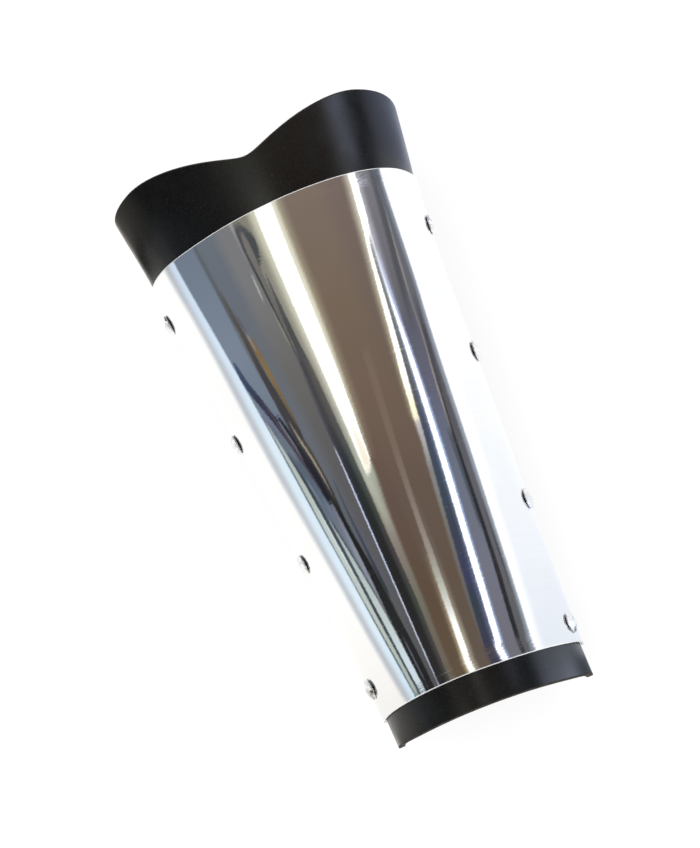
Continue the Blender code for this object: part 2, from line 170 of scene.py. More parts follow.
# What stands round the plate, from the back to the front: each panel covers those before it, from
# its left to its right edge. An edge is the angle at which the plate mirrors it, at a place along
# the arm in millimetres, and a soft edge fades over so many degrees or, at its ends, millimetres.
# A tone is what a display shows, from 0 for black to 1 for white, and a lamp's is more than 1.
PANELS_START = -112
PANELS_END = 92
Row = namedtuple("Row", "along left right tone")
Panel = namedtuple("Panel", "name left_soft right_soft end_soft rows")
PANELS = (
    Panel("left wall", 0, 0, 0, (
        Row(-112, -200, 60, (0.95, 0.94, 0.92)),
        Row(-95, -200, 60, (0.98, 0.97, 0.955)),
        Row(-60, -200, 60, (1.00, 1.00, 0.99)),
        Row(92, -200, 60, (1.00, 1.00, 0.99)),
    )),
    Panel("left wall in shade", 9.5, 0, 0, (
        Row(-112, -88.5, 60, (0.73, 0.75, 0.77)),
        Row(-104, -91.8, 60, (0.73, 0.75, 0.77)),
        Row(-75, -99.6, 60, (0.75, 0.77, 0.79)),
        Row(-35, -104.6, 60, (0.77, 0.79, 0.81)),
        Row(5, -109.4, 60, (0.76, 0.78, 0.80)),
        Row(65, -108.6, 60, (0.75, 0.77, 0.79)),
        Row(92, -111.3, 60, (0.71, 0.73, 0.75)),
    )),
    Panel("left board", 1, 0, 0, (
        Row(-112, -75.0, 60, (0.33, 0.36, 0.38)),
        Row(-75, -82.0, 60, (0.33, 0.35, 0.38)),
        Row(-35, -87.0, 60, (0.39, 0.42, 0.46)),
        Row(5, -89.4, 60, (0.41, 0.45, 0.50)),
        Row(20, -90.4, 60, (0.45, 0.49, 0.55)),
        Row(45, -92.5, 60, (0.475, 0.52, 0.58)),
        Row(92, -97.5, 60, (0.44, 0.485, 0.54)),
    )),
    Panel("grey board", 3, 0, 0, (
        Row(-112, -60, 60, (0.33, 0.33, 0.34)),
        Row(-75, -60, 60, (0.37, 0.375, 0.39)),
        Row(-35, -60, 60, (0.37, 0.385, 0.41)),
        Row(5, -60, 60, (0.405, 0.42, 0.45)),
        Row(25, -68.0, 60, (0.405, 0.425, 0.45)),
        Row(45, -70.6, 60, (0.41, 0.43, 0.455)),
        Row(65, -70.0, 60, (0.41, 0.43, 0.465)),
        Row(92, -71.2, 60, (0.41, 0.44, 0.475)),
    )),
    Panel("grey board in light", 12, 0, 0, (
        Row(-112, -48, 60, (0.33, 0.33, 0.33)),
        Row(-55, -48, 60, (0.355, 0.355, 0.37)),
        Row(-15, -48, 60, (0.365, 0.36, 0.365)),
        Row(25, -48, 60, (0.41, 0.405, 0.395)),
        Row(65, -48, 60, (0.475, 0.475, 0.48)),
        Row(92, -49, 60, (0.475, 0.475, 0.485)),
    )),
    Panel("grey board seam", 2.5, 3, 4, (
        Row(52, -69.0, -65.6, (0.34, 0.35, 0.36)),
        Row(75, -69.6, -66.2, (0.365, 0.385, 0.41)),
        Row(96, -70.4, -67.4, (0.375, 0.40, 0.43)),
    )),
    Panel("left screen", 9.5, 2.8, 0, (
        Row(-112, -80.5, -74.2, (0.82, 0.89, 0.94)),
        Row(-104, -83.0, -75.5, (0.83, 0.905, 0.955)),
        Row(-75, -90.5, -81.0, (0.875, 0.935, 0.975)),
        Row(-35, -96.5, -85.8, (0.865, 0.925, 0.97)),
        Row(5, -99.3, -88.5, (0.87, 0.935, 0.97)),
        Row(45, -100.0, -91.8, (0.84, 0.90, 0.96)),
        Row(65, -101.2, -93.4, (0.82, 0.885, 0.95)),
        Row(92, -103.0, -95.5, (0.81, 0.87, 0.94)),
    )),
    Panel("slope", 1.5, 1.5, 4, (
        Row(-76, -66.0, -60.5, (0.33, 0.34, 0.36)),
        Row(-55, -68.0, -60.8, (0.48, 0.51, 0.56)),
        Row(-35, -73.0, -61.0, (0.43, 0.465, 0.51)),
        Row(-20, -77.0, -66.0, (0.37, 0.41, 0.47)),
        Row(0, -79.0, -70.0, (0.34, 0.38, 0.43)),
    )),
    Panel("slope in shade", 1.2, 1.2, 3, (
        Row(-80, -64.2, -62.0, (0.30, 0.31, 0.33)),
        Row(-60, -66.7, -64.6, (0.32, 0.35, 0.375)),
        Row(-30, -73.4, -71.2, (0.30, 0.335, 0.38)),
    )),
    Panel("slope lilac", 1.2, 1.2, 3, (
        Row(-76, -62.8, -61.0, (0.42, 0.40, 0.42)),
        Row(-60, -64.3, -61.0, (0.55, 0.56, 0.61)),
        Row(-45, -65.2, -61.4, (0.54, 0.56, 0.61)),
        Row(-24, -64.4, -62.6, (0.43, 0.43, 0.50)),
    )),
    Panel("slope gleam", 1.2, 1.2, 3, (
        Row(-32, -67.0, -65.8, (0.45, 0.47, 0.54)),
        Row(-22, -69.4, -67.6, (0.46, 0.49, 0.55)),
    )),
    Panel("gap between slats", 1.5, 1.5, 3, (
        Row(-112, -69.0, -66.0, (0.26, 0.285, 0.305)),
        Row(-95, -71.3, -68.7, (0.29, 0.315, 0.335)),
        Row(-75, -74.6, -71.2, (0.26, 0.285, 0.305)),
        Row(-55, -76.3, -72.8, (0.28, 0.305, 0.335)),
        Row(-35, -78.3, -74.4, (0.28, 0.30, 0.33)),
        Row(-15, -80.0, -76.8, (0.24, 0.265, 0.30)),
        Row(2, -82.0, -80.6, (0.29, 0.32, 0.35)),
    )),
    Panel("slat one", 1.5, 1.6, 3, (
        Row(-112, -72.9, -68.6, (0.67, 0.71, 0.68)),
        Row(-95, -75.6, -71.2, (0.69, 0.735, 0.70)),
        Row(-75, -79.4, -74.5, (0.74, 0.78, 0.75)),
        Row(-55, -82.5, -76.2, (0.74, 0.78, 0.755)),
        Row(-35, -84.3, -78.2, (0.76, 0.81, 0.79)),
        Row(-15, -85.4, -79.8, (0.71, 0.755, 0.72)),
        Row(5, -87.0, -84.0, (0.70, 0.74, 0.73)),
        Row(17, -88.6, -87.4, (0.58, 0.62, 0.62)),
    )),
    Panel("slat one lit edge", 1.2, 1.0, 6, (
        Row(-64, -77.2, -75.8, (0.76, 0.80, 0.79)),
        Row(-45, -79.4, -77.6, (0.82, 0.86, 0.87)),
        Row(-22, -80.6, -79.2, (0.78, 0.83, 0.83)),
    )),
    Panel("slat two", 1.4, 1.8, 3, (
        Row(-112, -65.4, -59.2, (0.80, 0.85, 0.87)),
        Row(-95, -68.5, -61.2, (0.82, 0.875, 0.905)),
        Row(-75, -70.9, -63.3, (0.75, 0.80, 0.79)),
        Row(-55, -72.8, -67.6, (0.72, 0.765, 0.755)),
        Row(-40, -73.6, -71.2, (0.69, 0.73, 0.72)),
        Row(-29, -74.6, -73.8, (0.58, 0.62, 0.62)),
    )),
    Panel("grey board post", 1.6, 1.6, 3, (
        Row(-16, -66.5, -59.4, (0.16, 0.165, 0.18)),
        Row(0, -66.4, -58.3, (0.25, 0.245, 0.25)),
        Row(15, -68.0, -57.8, (0.26, 0.255, 0.265)),
        Row(30, -68.6, -62.8, (0.265, 0.26, 0.275)),
        Row(50, -67.9, -63.6, (0.32, 0.305, 0.28)),
        Row(70, -67.4, -65.2, (0.36, 0.365, 0.37)),
    )),
    Panel("lilac patch", 2, 2, 3, (
        Row(8, -83.4, -80.6, (0.37, 0.39, 0.45)),
        Row(16, -86.2, -83.0, (0.45, 0.46, 0.56)),
        Row(25, -88.8, -86.4, (0.47, 0.51, 0.58)),
    )),
    Panel("leaning bar", 1.6, 1.3, 2, (
        Row(-26, -65.0, -60.0, (0.13, 0.15, 0.175)),
        Row(-15, -68.2, -60.6, (0.15, 0.155, 0.185)),
        Row(0, -73.2, -65.4, (0.18, 0.18, 0.215)),
        Row(10, -77.6, -68.6, (0.19, 0.20, 0.24)),
        Row(17, -81.2, -75.4, (0.205, 0.22, 0.27)),
        Row(25, -86.2, -79.4, (0.215, 0.24, 0.31)),
        Row(34, -90.2, -84.4, (0.24, 0.29, 0.385)),
        Row(44, -89.9, -87.2, (0.29, 0.34, 0.43)),
    )),
    Panel("leaning bar tip", 1, 1, 2, (
        Row(9, -71.2, -68.2, (0.15, 0.15, 0.18)),
        Row(16, -73.4, -71.0, (0.20, 0.20, 0.24)),
    )),
    Panel("leaning bar gleam", 1.2, 1.2, 3, (
        Row(-6, -69.2, -68.2, (0.34, 0.32, 0.37)),
        Row(2, -71.0, -69.6, (0.50, 0.50, 0.53)),
        Row(15, -75.2, -73.2, (0.45, 0.48, 0.53)),
    )),
    Panel("leaning bar red line", 1.0, 1.0, 3, (
        Row(-21, -66.3, -65.4, (0.32, 0.26, 0.33)),
        Row(0, -72.4, -71.0, (0.38, 0.31, 0.37)),
        Row(10, -75.9, -74.4, (0.39, 0.31, 0.38)),
        Row(29, -83.0, -81.6, (0.23, 0.20, 0.26)),
    )),
    Panel("bar foot gleam", 1.5, 1.5, 3, (
        Row(-30, -72.6, -70.8, (0.35, 0.40, 0.47)),
        Row(-15, -75.9, -74.3, (0.47, 0.52, 0.58)),
        Row(-10, -77.4, -76.2, (0.40, 0.44, 0.50)),
    )),
    Panel("bar side gleam", 1.5, 1.5, 3, (
        Row(-5, -75.2, -73.6, (0.43, 0.47, 0.53)),
        Row(4, -78.8, -77.0, (0.45, 0.49, 0.54)),
    )),
    Panel("tan post", 1.3, 1.0, 2, (
        Row(7, -58.4, -57.2, (0.38, 0.33, 0.27)),
        Row(20, -60.8, -57.4, (0.46, 0.39, 0.29)),
        Row(32, -61.9, -57.8, (0.52, 0.43, 0.29)),
        Row(48, -63.4, -58.6, (0.47, 0.39, 0.28)),
    )),
    Panel("tan post glint", 0.9, 0.9, 2, (
        Row(41, -61.6, -60.4, (0.55, 0.52, 0.51)),
        Row(50, -62.8, -61.2, (0.56, 0.54, 0.55)),
    )),
    Panel("lilac above post", 1.6, 1.6, 4, (
        Row(49, -62.2, -60.2, (0.36, 0.34, 0.41)),
        Row(60, -64.2, -62.2, (0.38, 0.38, 0.43)),
    )),
    Panel("black stand", 1.2, 2.0, 6, (
        Row(-116, -58.2, -48.6, (0.14, 0.14, 0.145)),
        Row(-95, -60.5, -49.3, (0.155, 0.16, 0.165)),
        Row(-75, -61.6, -51.6, (0.165, 0.17, 0.17)),
        Row(-55, -60.9, -53.9, (0.145, 0.145, 0.15)),
        Row(-35, -61.1, -57.2, (0.135, 0.14, 0.14)),
        Row(-20, -61.6, -55.8, (0.20, 0.195, 0.19)),
        Row(3, -60.0, -57.0, (0.33, 0.32, 0.31)),
    )),
    Panel("stand gleam", 1.4, 1.4, 7, (
        Row(-108, -56.3, -54.7, (0.35, 0.35, 0.39)),
        Row(-83, -58.3, -56.2, (0.37, 0.365, 0.42)),
    )),
    Panel("pale foot line", 1.0, 1.2, 2, (
        Row(-26, -58.3, -57.3, (0.25, 0.24, 0.22)),
        Row(-15, -59.3, -57.5, (0.57, 0.52, 0.48)),
        Row(-6, -60.9, -58.9, (0.62, 0.57, 0.48)),
        Row(2, -63.3, -61.3, (0.62, 0.59, 0.51)),
        Row(12, -64.7, -63.4, (0.42, 0.40, 0.38)),
    )),
    Panel("navy strip", 1.3, 2.0, 5, (
        Row(-78, -52.2, -49.8, (0.24, 0.25, 0.27)),
        Row(-60, -53.2, -49.8, (0.22, 0.24, 0.27)),
        Row(-45, -53.0, -50.4, (0.25, 0.275, 0.33)),
        Row(-30, -52.6, -50.6, (0.28, 0.30, 0.34)),
        Row(-15, -50.6, -49.2, (0.34, 0.355, 0.40)),
    )),
    Panel("pale dash", 0.8, 0.8, 3, (
        Row(-80, -51.0, -49.8, (0.36, 0.36, 0.32)),
        Row(-66, -51.2, -49.4, (0.38, 0.38, 0.36)),
    )),
    Panel("brown wall", 0, 0, 0, (
        Row(-112, -24, 100, (0.385, 0.34, 0.305)),
        Row(-75, -24, 100, (0.385, 0.33, 0.285)),
        Row(-35, -24, 100, (0.40, 0.34, 0.30)),
        Row(5, -24, 100, (0.44, 0.37, 0.32)),
        Row(45, -24, 100, (0.46, 0.40, 0.345)),
        Row(92, -24, 100, (0.49, 0.435, 0.39)),
    )),
    Panel("brown wall left", 0, 6, 10, (
        Row(-122, -28, -14, (0.38, 0.33, 0.27)),
        Row(-75, -28, -8, (0.37, 0.305, 0.25)),
        Row(-35, -28, -3, (0.39, 0.325, 0.29)),
        Row(0, -28, 2, (0.44, 0.36, 0.31)),
    )),
    Panel("brown wall right", 18, 0, 0, (
        Row(-40, 36, 100, (0.41, 0.36, 0.32)),
        Row(5, 36, 100, (0.425, 0.37, 0.325)),
        Row(92, 42, 100, (0.465, 0.41, 0.385)),
    )),
    Panel("lamp board", 1.8, 4.5, 3, (
        Row(-112, -30.6, -24.0, (0.42, 0.395, 0.34)),
        Row(-95, -29.4, -23.4, (0.43, 0.395, 0.35)),
        Row(-75, -27.0, -20.6, (0.45, 0.44, 0.39)),
        Row(-55, -26.2, -18.6, (0.52, 0.49, 0.455)),
        Row(-35, -25.0, -15.2, (0.60, 0.59, 0.54)),
        Row(-22, -24.2, -12.0, (0.65, 0.68, 0.62)),
        Row(5, -23.6, -9.0, (0.56, 0.56, 0.52)),
        Row(33, -24.0, -5.0, (0.58, 0.565, 0.52)),
        Row(37, -31.5, -5.0, (0.57, 0.555, 0.51)),
        Row(60, -31.5, -4.0, (0.56, 0.55, 0.50)),
        Row(96, -31.5, 0.0, (0.50, 0.485, 0.44)),
    )),
    Panel("lamp board crest", 3, 4, 14, (
        Row(-50, -23.4, -18.6, (0.60, 0.59, 0.54)),
        Row(-12, -22.6, -16.6, (0.75, 0.78, 0.71)),
    )),
    Panel("lamp glow", 8, 0, 3, (
        Row(-21, -20.6, -14.0, (0.76, 0.77, 0.70)),
        Row(5, -20.0, -10.0, (0.84, 0.83, 0.76)),
        Row(45, -19.0, -5.0, (0.82, 0.815, 0.74)),
        Row(96, -18.0, 0.0, (0.80, 0.795, 0.71)),
    )),
    Panel("lamp far right glow", 0, 9, 3, (
        Row(-18, -14.0, -7.6, (0.47, 0.41, 0.36)),
        Row(5, -10.0, -1.2, (0.55, 0.50, 0.43)),
        Row(45, -6.0, 5.0, (0.61, 0.565, 0.485)),
        Row(96, -3.0, 8.6, (0.64, 0.61, 0.53)),
    )),
    Panel("lamp near right glow", 0, 4.5, 3, (
        Row(-17, -14.0, -10.4, (0.66, 0.64, 0.58)),
        Row(5, -9.0, -5.2, (0.81, 0.79, 0.71)),
        Row(45, -4.0, 1.2, (0.88, 0.87, 0.79)),
        Row(96, -2.0, 4.4, (0.88, 0.87, 0.79)),
    )),
    Panel("lamp", 1.8, 1.5, 1.2, (
        Row(-22.2, -20.6, -18.2, (0.98, 0.97, 0.92)),
        Row(-19.6, -20.0, -14.0, (1.06, 1.05, 1.00)),
        Row(-16.6, -19.6, -11.4, (1.12, 1.10, 1.05)),
        Row(-8, -18.6, -9.6, (1.15, 1.15, 1.12)),
        Row(5, -17.7, -7.2, (1.15, 1.15, 1.12)),
        Row(25, -16.3, -4.2, (1.15, 1.15, 1.12)),
        Row(45, -15.2, -2.4, (1.15, 1.15, 1.12)),
        Row(65, -14.3, -1.0, (1.15, 1.15, 1.12)),
        Row(96, -12.6, 0.9, (1.15, 1.15, 1.12)),
    )),
    Panel("lamp peach end", 2.0, 2.0, 6, (
        Row(-23, -20.0, -15.5, (0.96, 0.93, 0.865)),
        Row(-14, -17.6, -11.9, (0.99, 0.945, 0.86)),
        Row(1, -14.6, -12.4, (1.02, 1.00, 0.95)),
    )),
    Panel("flag", 0, 2.4, 4, (
        Row(-116, -43.0, -31.2, (0.27, 0.265, 0.24)),
        Row(-95, -42.0, -29.6, (0.27, 0.255, 0.25)),
        Row(-75, -41.0, -27.2, (0.25, 0.28, 0.25)),
        Row(-55, -39.0, -26.4, (0.28, 0.26, 0.27)),
        Row(-35, -37.0, -25.4, (0.25, 0.275, 0.25)),
        Row(-15, -35.0, -24.3, (0.29, 0.33, 0.32)),
        Row(5, -33.0, -23.8, (0.34, 0.335, 0.33)),
        Row(33, -29.5, -23.6, (0.34, 0.335, 0.33)),
    )),
    Panel("flag dark side", 1.6, 5, 6, (
        Row(-116, -44.0, -34.0, (0.18, 0.17, 0.17)),
        Row(-95, -42.6, -33.6, (0.18, 0.175, 0.18)),
        Row(-75, -41.6, -31.6, (0.16, 0.16, 0.16)),
        Row(-55, -39.6, -30.4, (0.165, 0.16, 0.165)),
        Row(-35, -37.8, -29.4, (0.165, 0.18, 0.18)),
        Row(-15, -35.8, -28.4, (0.20, 0.21, 0.22)),
        Row(5, -34.2, -28.6, (0.275, 0.27, 0.28)),
        Row(35, -30.0, -27.4, (0.27, 0.27, 0.275)),
    )),
    Panel("flag violet edge", 1.6, 1.6, 5, (
        Row(-60, -40.2, -38.9, (0.17, 0.18, 0.22)),
        Row(-15, -35.9, -34.2, (0.22, 0.23, 0.29)),
        Row(10, -34.6, -32.6, (0.33, 0.32, 0.36)),
        Row(30, -31.8, -30.4, (0.37, 0.36, 0.39)),
        Row(58, -27.3, -26.3, (0.40, 0.39, 0.40)),
    )),
    Panel("lit edge", 0.8, 0.8, 2, (
        Row(-112, -44.0, -42.7, (0.62, 0.66, 0.74)),
        Row(-90, -43.4, -41.9, (0.74, 0.76, 0.82)),
        Row(-60, -41.2, -39.8, (0.78, 0.82, 0.90)),
        Row(-20, -37.5, -36.1, (0.77, 0.80, 0.90)),
        Row(-6, -36.3, -35.1, (0.68, 0.69, 0.73)),
    )),
    Panel("hook", 1.2, 1.2, 2, (
        Row(62, -31.2, -29.4, (0.31, 0.31, 0.31)),
        Row(69, -32.2, -27.0, (0.29, 0.29, 0.30)),
        Row(74, -32.5, -22.6, (0.29, 0.30, 0.30)),
        Row(81, -32.6, -20.6, (0.29, 0.30, 0.31)),
        Row(85, -32.2, -22.8, (0.30, 0.31, 0.32)),
        Row(90, -30.8, -28.0, (0.33, 0.34, 0.35)),
    )),
    Panel("hook eye", 0.9, 0.9, 1.5, (
        Row(44, -29.9, -28.9, (0.39, 0.385, 0.375)),
        Row(58, -30.2, -26.6, (0.43, 0.425, 0.41)),
        Row(70, -30.4, -26.4, (0.45, 0.44, 0.425)),
        Row(79, -30.8, -26.0, (0.46, 0.445, 0.435)),
        Row(86.5, -29.2, -27.4, (0.44, 0.43, 0.42)),
    )),
    Panel("hook left stem", 0.9, 0.9, 3, (
        Row(30, -30.8, -30.0, (0.32, 0.31, 0.32)),
        Row(48, -31.4, -30.0, (0.25, 0.245, 0.25)),
        Row(70, -32.2, -30.5, (0.25, 0.25, 0.25)),
    )),
    Panel("hook right stem", 1.2, 1.2, 3, (
        Row(28, -29.4, -23.6, (0.32, 0.32, 0.32)),
        Row(42, -28.6, -23.9, (0.295, 0.30, 0.295)),
        Row(56, -26.6, -24.1, (0.33, 0.335, 0.335)),
        Row(68, -24.9, -24.1, (0.40, 0.395, 0.38)),
    )),
    Panel("hook glint", 0.9, 0.9, 2, (
        Row(57, -36.4, -35.4, (0.66, 0.66, 0.64)),
        Row(63, -36.0, -34.8, (0.72, 0.72, 0.70)),
        Row(70, -35.4, -34.2, (0.58, 0.58, 0.58)),
    )),
    Panel("hook top glint", 1.4, 1.2, 3, (
        Row(73, -34.2, -32.9, (0.50, 0.50, 0.505)),
        Row(85, -34.4, -32.6, (0.53, 0.53, 0.535)),
        Row(96, -35.2, -31.5, (0.70, 0.70, 0.69)),
    )),
    Panel("narrow lamp left glow", 5, 0, 6, (
        Row(-118, -13.6, -4.0, (0.68, 0.62, 0.51)),
        Row(-95, -9.8, -2.0, (0.62, 0.56, 0.44)),
        Row(-75, -5.8, 0.0, (0.50, 0.44, 0.36)),
        Row(-55, -0.6, 3.0, (0.46, 0.40, 0.34)),
    )),
    Panel("narrow lamp right glow", 0, 5, 6, (
        Row(-118, -6.0, -0.6, (0.60, 0.56, 0.50)),
        Row(-95, -3.0, 3.2, (0.60, 0.57, 0.50)),
        Row(-75, 0.0, 6.6, (0.50, 0.45, 0.40)),
        Row(-60, 2.0, 9.6, (0.42, 0.38, 0.345)),
        Row(-35, 6.0, 13.0, (0.41, 0.355, 0.315)),
    )),
    Panel("narrow lamp", 2.3, 2.2, 3, (
        Row(-116, -10.4, -4.6, (1.08, 1.08, 1.06)),
        Row(-95, -7.2, -0.8, (1.10, 1.10, 1.07)),
        Row(-88, -5.8, 0.7, (1.00, 1.00, 0.97)),
        Row(-81, -4.5, 2.0, (0.86, 0.86, 0.83)),
        Row(-75, -3.3, 3.4, (0.76, 0.765, 0.715)),
        Row(-66, -1.2, 4.9, (0.66, 0.65, 0.60)),
        Row(-60, 0.5, 6.2, (0.61, 0.58, 0.54)),
        Row(-48, 3.0, 7.8, (0.56, 0.515, 0.475)),
        Row(-35, 5.8, 10.8, (0.51, 0.455, 0.42)),
        Row(-15, 10.2, 15.8, (0.475, 0.405, 0.355)),
        Row(25, 20.5, 27.0, (0.465, 0.405, 0.35)),
    )),
    Panel("blue flag rim", 3, 0, 6, (
        Row(-112, 12.0, 16.0, (0.39, 0.355, 0.34)),
        Row(-75, 19.4, 24.0, (0.42, 0.40, 0.39)),
        Row(-55, 25.4, 30.0, (0.455, 0.44, 0.42)),
        Row(-35, 31.2, 36.0, (0.52, 0.52, 0.51)),
        Row(-18, 36.0, 40.0, (0.51, 0.49, 0.47)),
    )),
    Panel("second lamp glow", 9, 0, 2, (
        Row(-10, 37.4, 42.0, (0.74, 0.70, 0.57)),
        Row(5, 41.0, 46.0, (0.73, 0.69, 0.57)),
        Row(45, 51.4, 57.0, (0.78, 0.76, 0.68)),
        Row(62, 56.2, 62.0, (0.79, 0.775, 0.70)),
        Row(96, 62.2, 67.0, (0.80, 0.785, 0.71)),
    )),
    Panel("second lamp tail", 3.0, 0.8, 2, (
        Row(-30, 33.0, 37.6, (0.53, 0.53, 0.53)),
        Row(-20, 36.3, 40.6, (0.67, 0.66, 0.655)),
        Row(-14, 37.1, 42.8, (0.71, 0.70, 0.71)),
        Row(-5, 39.0, 44.6, (0.82, 0.78, 0.72)),
    )),
    Panel("violet wall", 3, 0, 0, (
        Row(-112, 27.0, 200, (0.44, 0.435, 0.47)),
        Row(-75, 37.0, 200, (0.45, 0.455, 0.505)),
        Row(-35, 47.5, 200, (0.42, 0.445, 0.505)),
        Row(-15, 52.0, 200, (0.40, 0.42, 0.49)),
        Row(5, 56.0, 200, (0.385, 0.385, 0.45)),
        Row(25, 59.0, 200, (0.38, 0.38, 0.43)),
        Row(45, 62.0, 200, (0.42, 0.415, 0.44)),
        Row(65, 66.0, 200, (0.45, 0.44, 0.465)),
        Row(92, 68.0, 200, (0.49, 0.485, 0.505)),
    )),
    Panel("violet wall dark veil", 4, 4, 6, (
        Row(22, 68.5, 73.0, (0.37, 0.37, 0.42)),
        Row(45, 75.0, 81.0, (0.33, 0.33, 0.35)),
        Row(65, 80.6, 87.0, (0.335, 0.335, 0.35)),
        Row(96, 86.0, 92.0, (0.38, 0.385, 0.42)),
    )),
    Panel("second lamp right glow", 0, 8, 4, (
        Row(30, 61.0, 64.6, (0.50, 0.51, 0.59)),
        Row(45, 63.0, 67.0, (0.60, 0.61, 0.67)),
        Row(65, 66.0, 70.6, (0.68, 0.68, 0.72)),
        Row(96, 69.0, 75.0, (0.70, 0.70, 0.71)),
    )),
    Panel("blue flag", 1.8, 0, 2, (
        Row(-112, 12.4, 28.0, (0.235, 0.23, 0.30)),
        Row(-95, 17.0, 31.0, (0.24, 0.255, 0.315)),
        Row(-85, 20.0, 34.0, (0.22, 0.26, 0.295)),
        Row(-75, 23.0, 36.0, (0.245, 0.255, 0.36)),
        Row(-55, 29.1, 42.0, (0.25, 0.27, 0.32)),
        Row(-35, 35.6, 47.0, (0.25, 0.295, 0.35)),
        Row(-15, 42.0, 51.0, (0.28, 0.30, 0.37)),
        Row(5, 47.7, 56.0, (0.37, 0.375, 0.41)),
        Row(25, 53.4, 59.0, (0.43, 0.445, 0.455)),
        Row(40, 57.0, 61.4, (0.47, 0.49, 0.50)),
        Row(55, 60.6, 63.4, (0.53, 0.545, 0.55)),
        Row(70, 64.4, 65.6, (0.74, 0.74, 0.73)),
    )),
    Panel("blue flag lit side", 5, 0, 4, (
        Row(-112, 20.8, 28.0, (0.355, 0.375, 0.46)),
        Row(-75, 30.4, 36.0, (0.35, 0.365, 0.465)),
        Row(-55, 37.2, 42.0, (0.35, 0.39, 0.45)),
        Row(-15, 47.4, 51.0, (0.42, 0.46, 0.54)),
        Row(40, 60.2, 61.4, (0.56, 0.59, 0.62)),
    )),
    Panel("second lamp", 1.6, 1.6, 0.8, (
        Row(-10.2, 38.0, 42.6, (1.00, 0.98, 0.84)),
        Row(-3, 39.9, 45.0, (1.05, 1.03, 0.89)),
        Row(5, 41.9, 47.6, (1.12, 1.12, 1.05)),
        Row(25, 48.3, 53.3, (1.15, 1.15, 1.12)),
        Row(45, 54.3, 58.4, (1.15, 1.15, 1.12)),
        Row(62, 59.2, 62.4, (1.15, 1.15, 1.12)),
        Row(71, 61.9, 68.2, (1.15, 1.15, 1.14)),
        Row(96, 65.6, 71.7, (1.15, 1.15, 1.14)),
    )),
    Panel("strip lamp fringe", 0, 3, 3, (
        Row(-112, 27.0, 32.4, (0.68, 0.75, 0.92)),
        Row(-75, 37.0, 42.2, (0.68, 0.75, 0.92)),
        Row(-35, 48.0, 52.6, (0.68, 0.76, 0.92)),
        Row(5, 56.0, 60.4, (0.70, 0.76, 0.92)),
        Row(42, 62.0, 65.4, (0.74, 0.78, 0.90)),
        Row(60, 64.4, 67.4, (0.80, 0.80, 0.88)),
    )),
    Panel("strip lamp", 2.6, 1.6, 3, (
        Row(-116, 23.4, 29.0, (1.25, 1.28, 1.34)),
        Row(-95, 29.0, 34.9, (1.25, 1.28, 1.34)),
        Row(-75, 34.4, 40.6, (1.25, 1.28, 1.34)),
        Row(-55, 39.7, 45.6, (1.25, 1.28, 1.34)),
        Row(-35, 44.9, 50.7, (1.25, 1.28, 1.34)),
        Row(-15, 49.8, 54.6, (1.25, 1.28, 1.34)),
        Row(5, 54.0, 58.6, (1.25, 1.28, 1.34)),
        Row(25, 58.0, 61.4, (1.20, 1.22, 1.28)),
        Row(42, 60.9, 63.0, (1.02, 1.03, 1.08)),
        Row(57, 63.7, 65.2, (0.92, 0.93, 0.97)),
        Row(70, 65.6, 67.8, (1.00, 1.00, 1.00)),
    )),
    Panel("right post veil", 2.5, 0, 6, (
        Row(-60, 58.4, 63.0, (0.33, 0.33, 0.36)),
        Row(-35, 62.2, 67.0, (0.31, 0.33, 0.36)),
        Row(-15, 64.6, 69.0, (0.35, 0.35, 0.38)),
    )),
    Panel("right board", 0, 0, 0, (
        Row(-112, 50.5, 200, (0.37, 0.37, 0.38)),
        Row(-75, 58.0, 200, (0.395, 0.395, 0.41)),
        Row(-35, 67.0, 200, (0.38, 0.38, 0.40)),
        Row(-15, 71.0, 200, (0.35, 0.35, 0.37)),
        Row(5, 76.0, 200, (0.35, 0.35, 0.37)),
        Row(25, 83.0, 200, (0.38, 0.385, 0.42)),
        Row(45, 86.0, 200, (0.41, 0.41, 0.435)),
        Row(92, 89.0, 200, (0.40, 0.41, 0.445)),
    )),
    Panel("right post", 1.8, 2.2, 4, (
        Row(-112, 46.4, 51.2, (0.19, 0.19, 0.20)),
        Row(-95, 51.0, 55.9, (0.175, 0.18, 0.195)),
        Row(-75, 56.8, 61.8, (0.195, 0.19, 0.21)),
        Row(-55, 61.7, 65.7, (0.185, 0.19, 0.21)),
        Row(-35, 65.4, 68.8, (0.185, 0.195, 0.215)),
        Row(-18, 68.8, 71.2, (0.215, 0.215, 0.23)),
        Row(-8, 71.6, 73.6, (0.26, 0.255, 0.265)),
        Row(5, 74.9, 78.8, (0.31, 0.305, 0.325)),
        Row(22, 80.2, 84.2, (0.30, 0.305, 0.325)),
        Row(40, 86.0, 87.8, (0.39, 0.39, 0.41)),
    )),
    Panel("warm line", 1.2, 1.3, 4, (
        Row(-20, 67.2, 68.8, (0.40, 0.39, 0.39)),
        Row(-5, 70.5, 72.2, (0.62, 0.58, 0.54)),
        Row(8, 73.6, 75.4, (0.57, 0.54, 0.51)),
        Row(18, 76.6, 78.5, (0.53, 0.49, 0.475)),
        Row(35, 79.9, 81.8, (0.49, 0.475, 0.475)),
        Row(48, 82.8, 84.7, (0.56, 0.555, 0.54)),
        Row(76, 89.0, 90.3, (0.49, 0.49, 0.505)),
    )),
    Panel("right board dark line", 1.1, 1.1, 4, (
        Row(-88, 64.2, 65.8, (0.37, 0.37, 0.39)),
        Row(-70, 67.8, 69.6, (0.265, 0.28, 0.315)),
        Row(-48, 71.8, 73.2, (0.36, 0.36, 0.40)),
    )),
    Panel("right board rim", 4, 0, 0, (
        Row(-112, 58.6, 200, (0.55, 0.585, 0.635)),
        Row(-95, 64.4, 200, (0.54, 0.575, 0.62)),
        Row(-75, 70.0, 200, (0.59, 0.62, 0.66)),
        Row(-35, 76.2, 200, (0.57, 0.60, 0.65)),
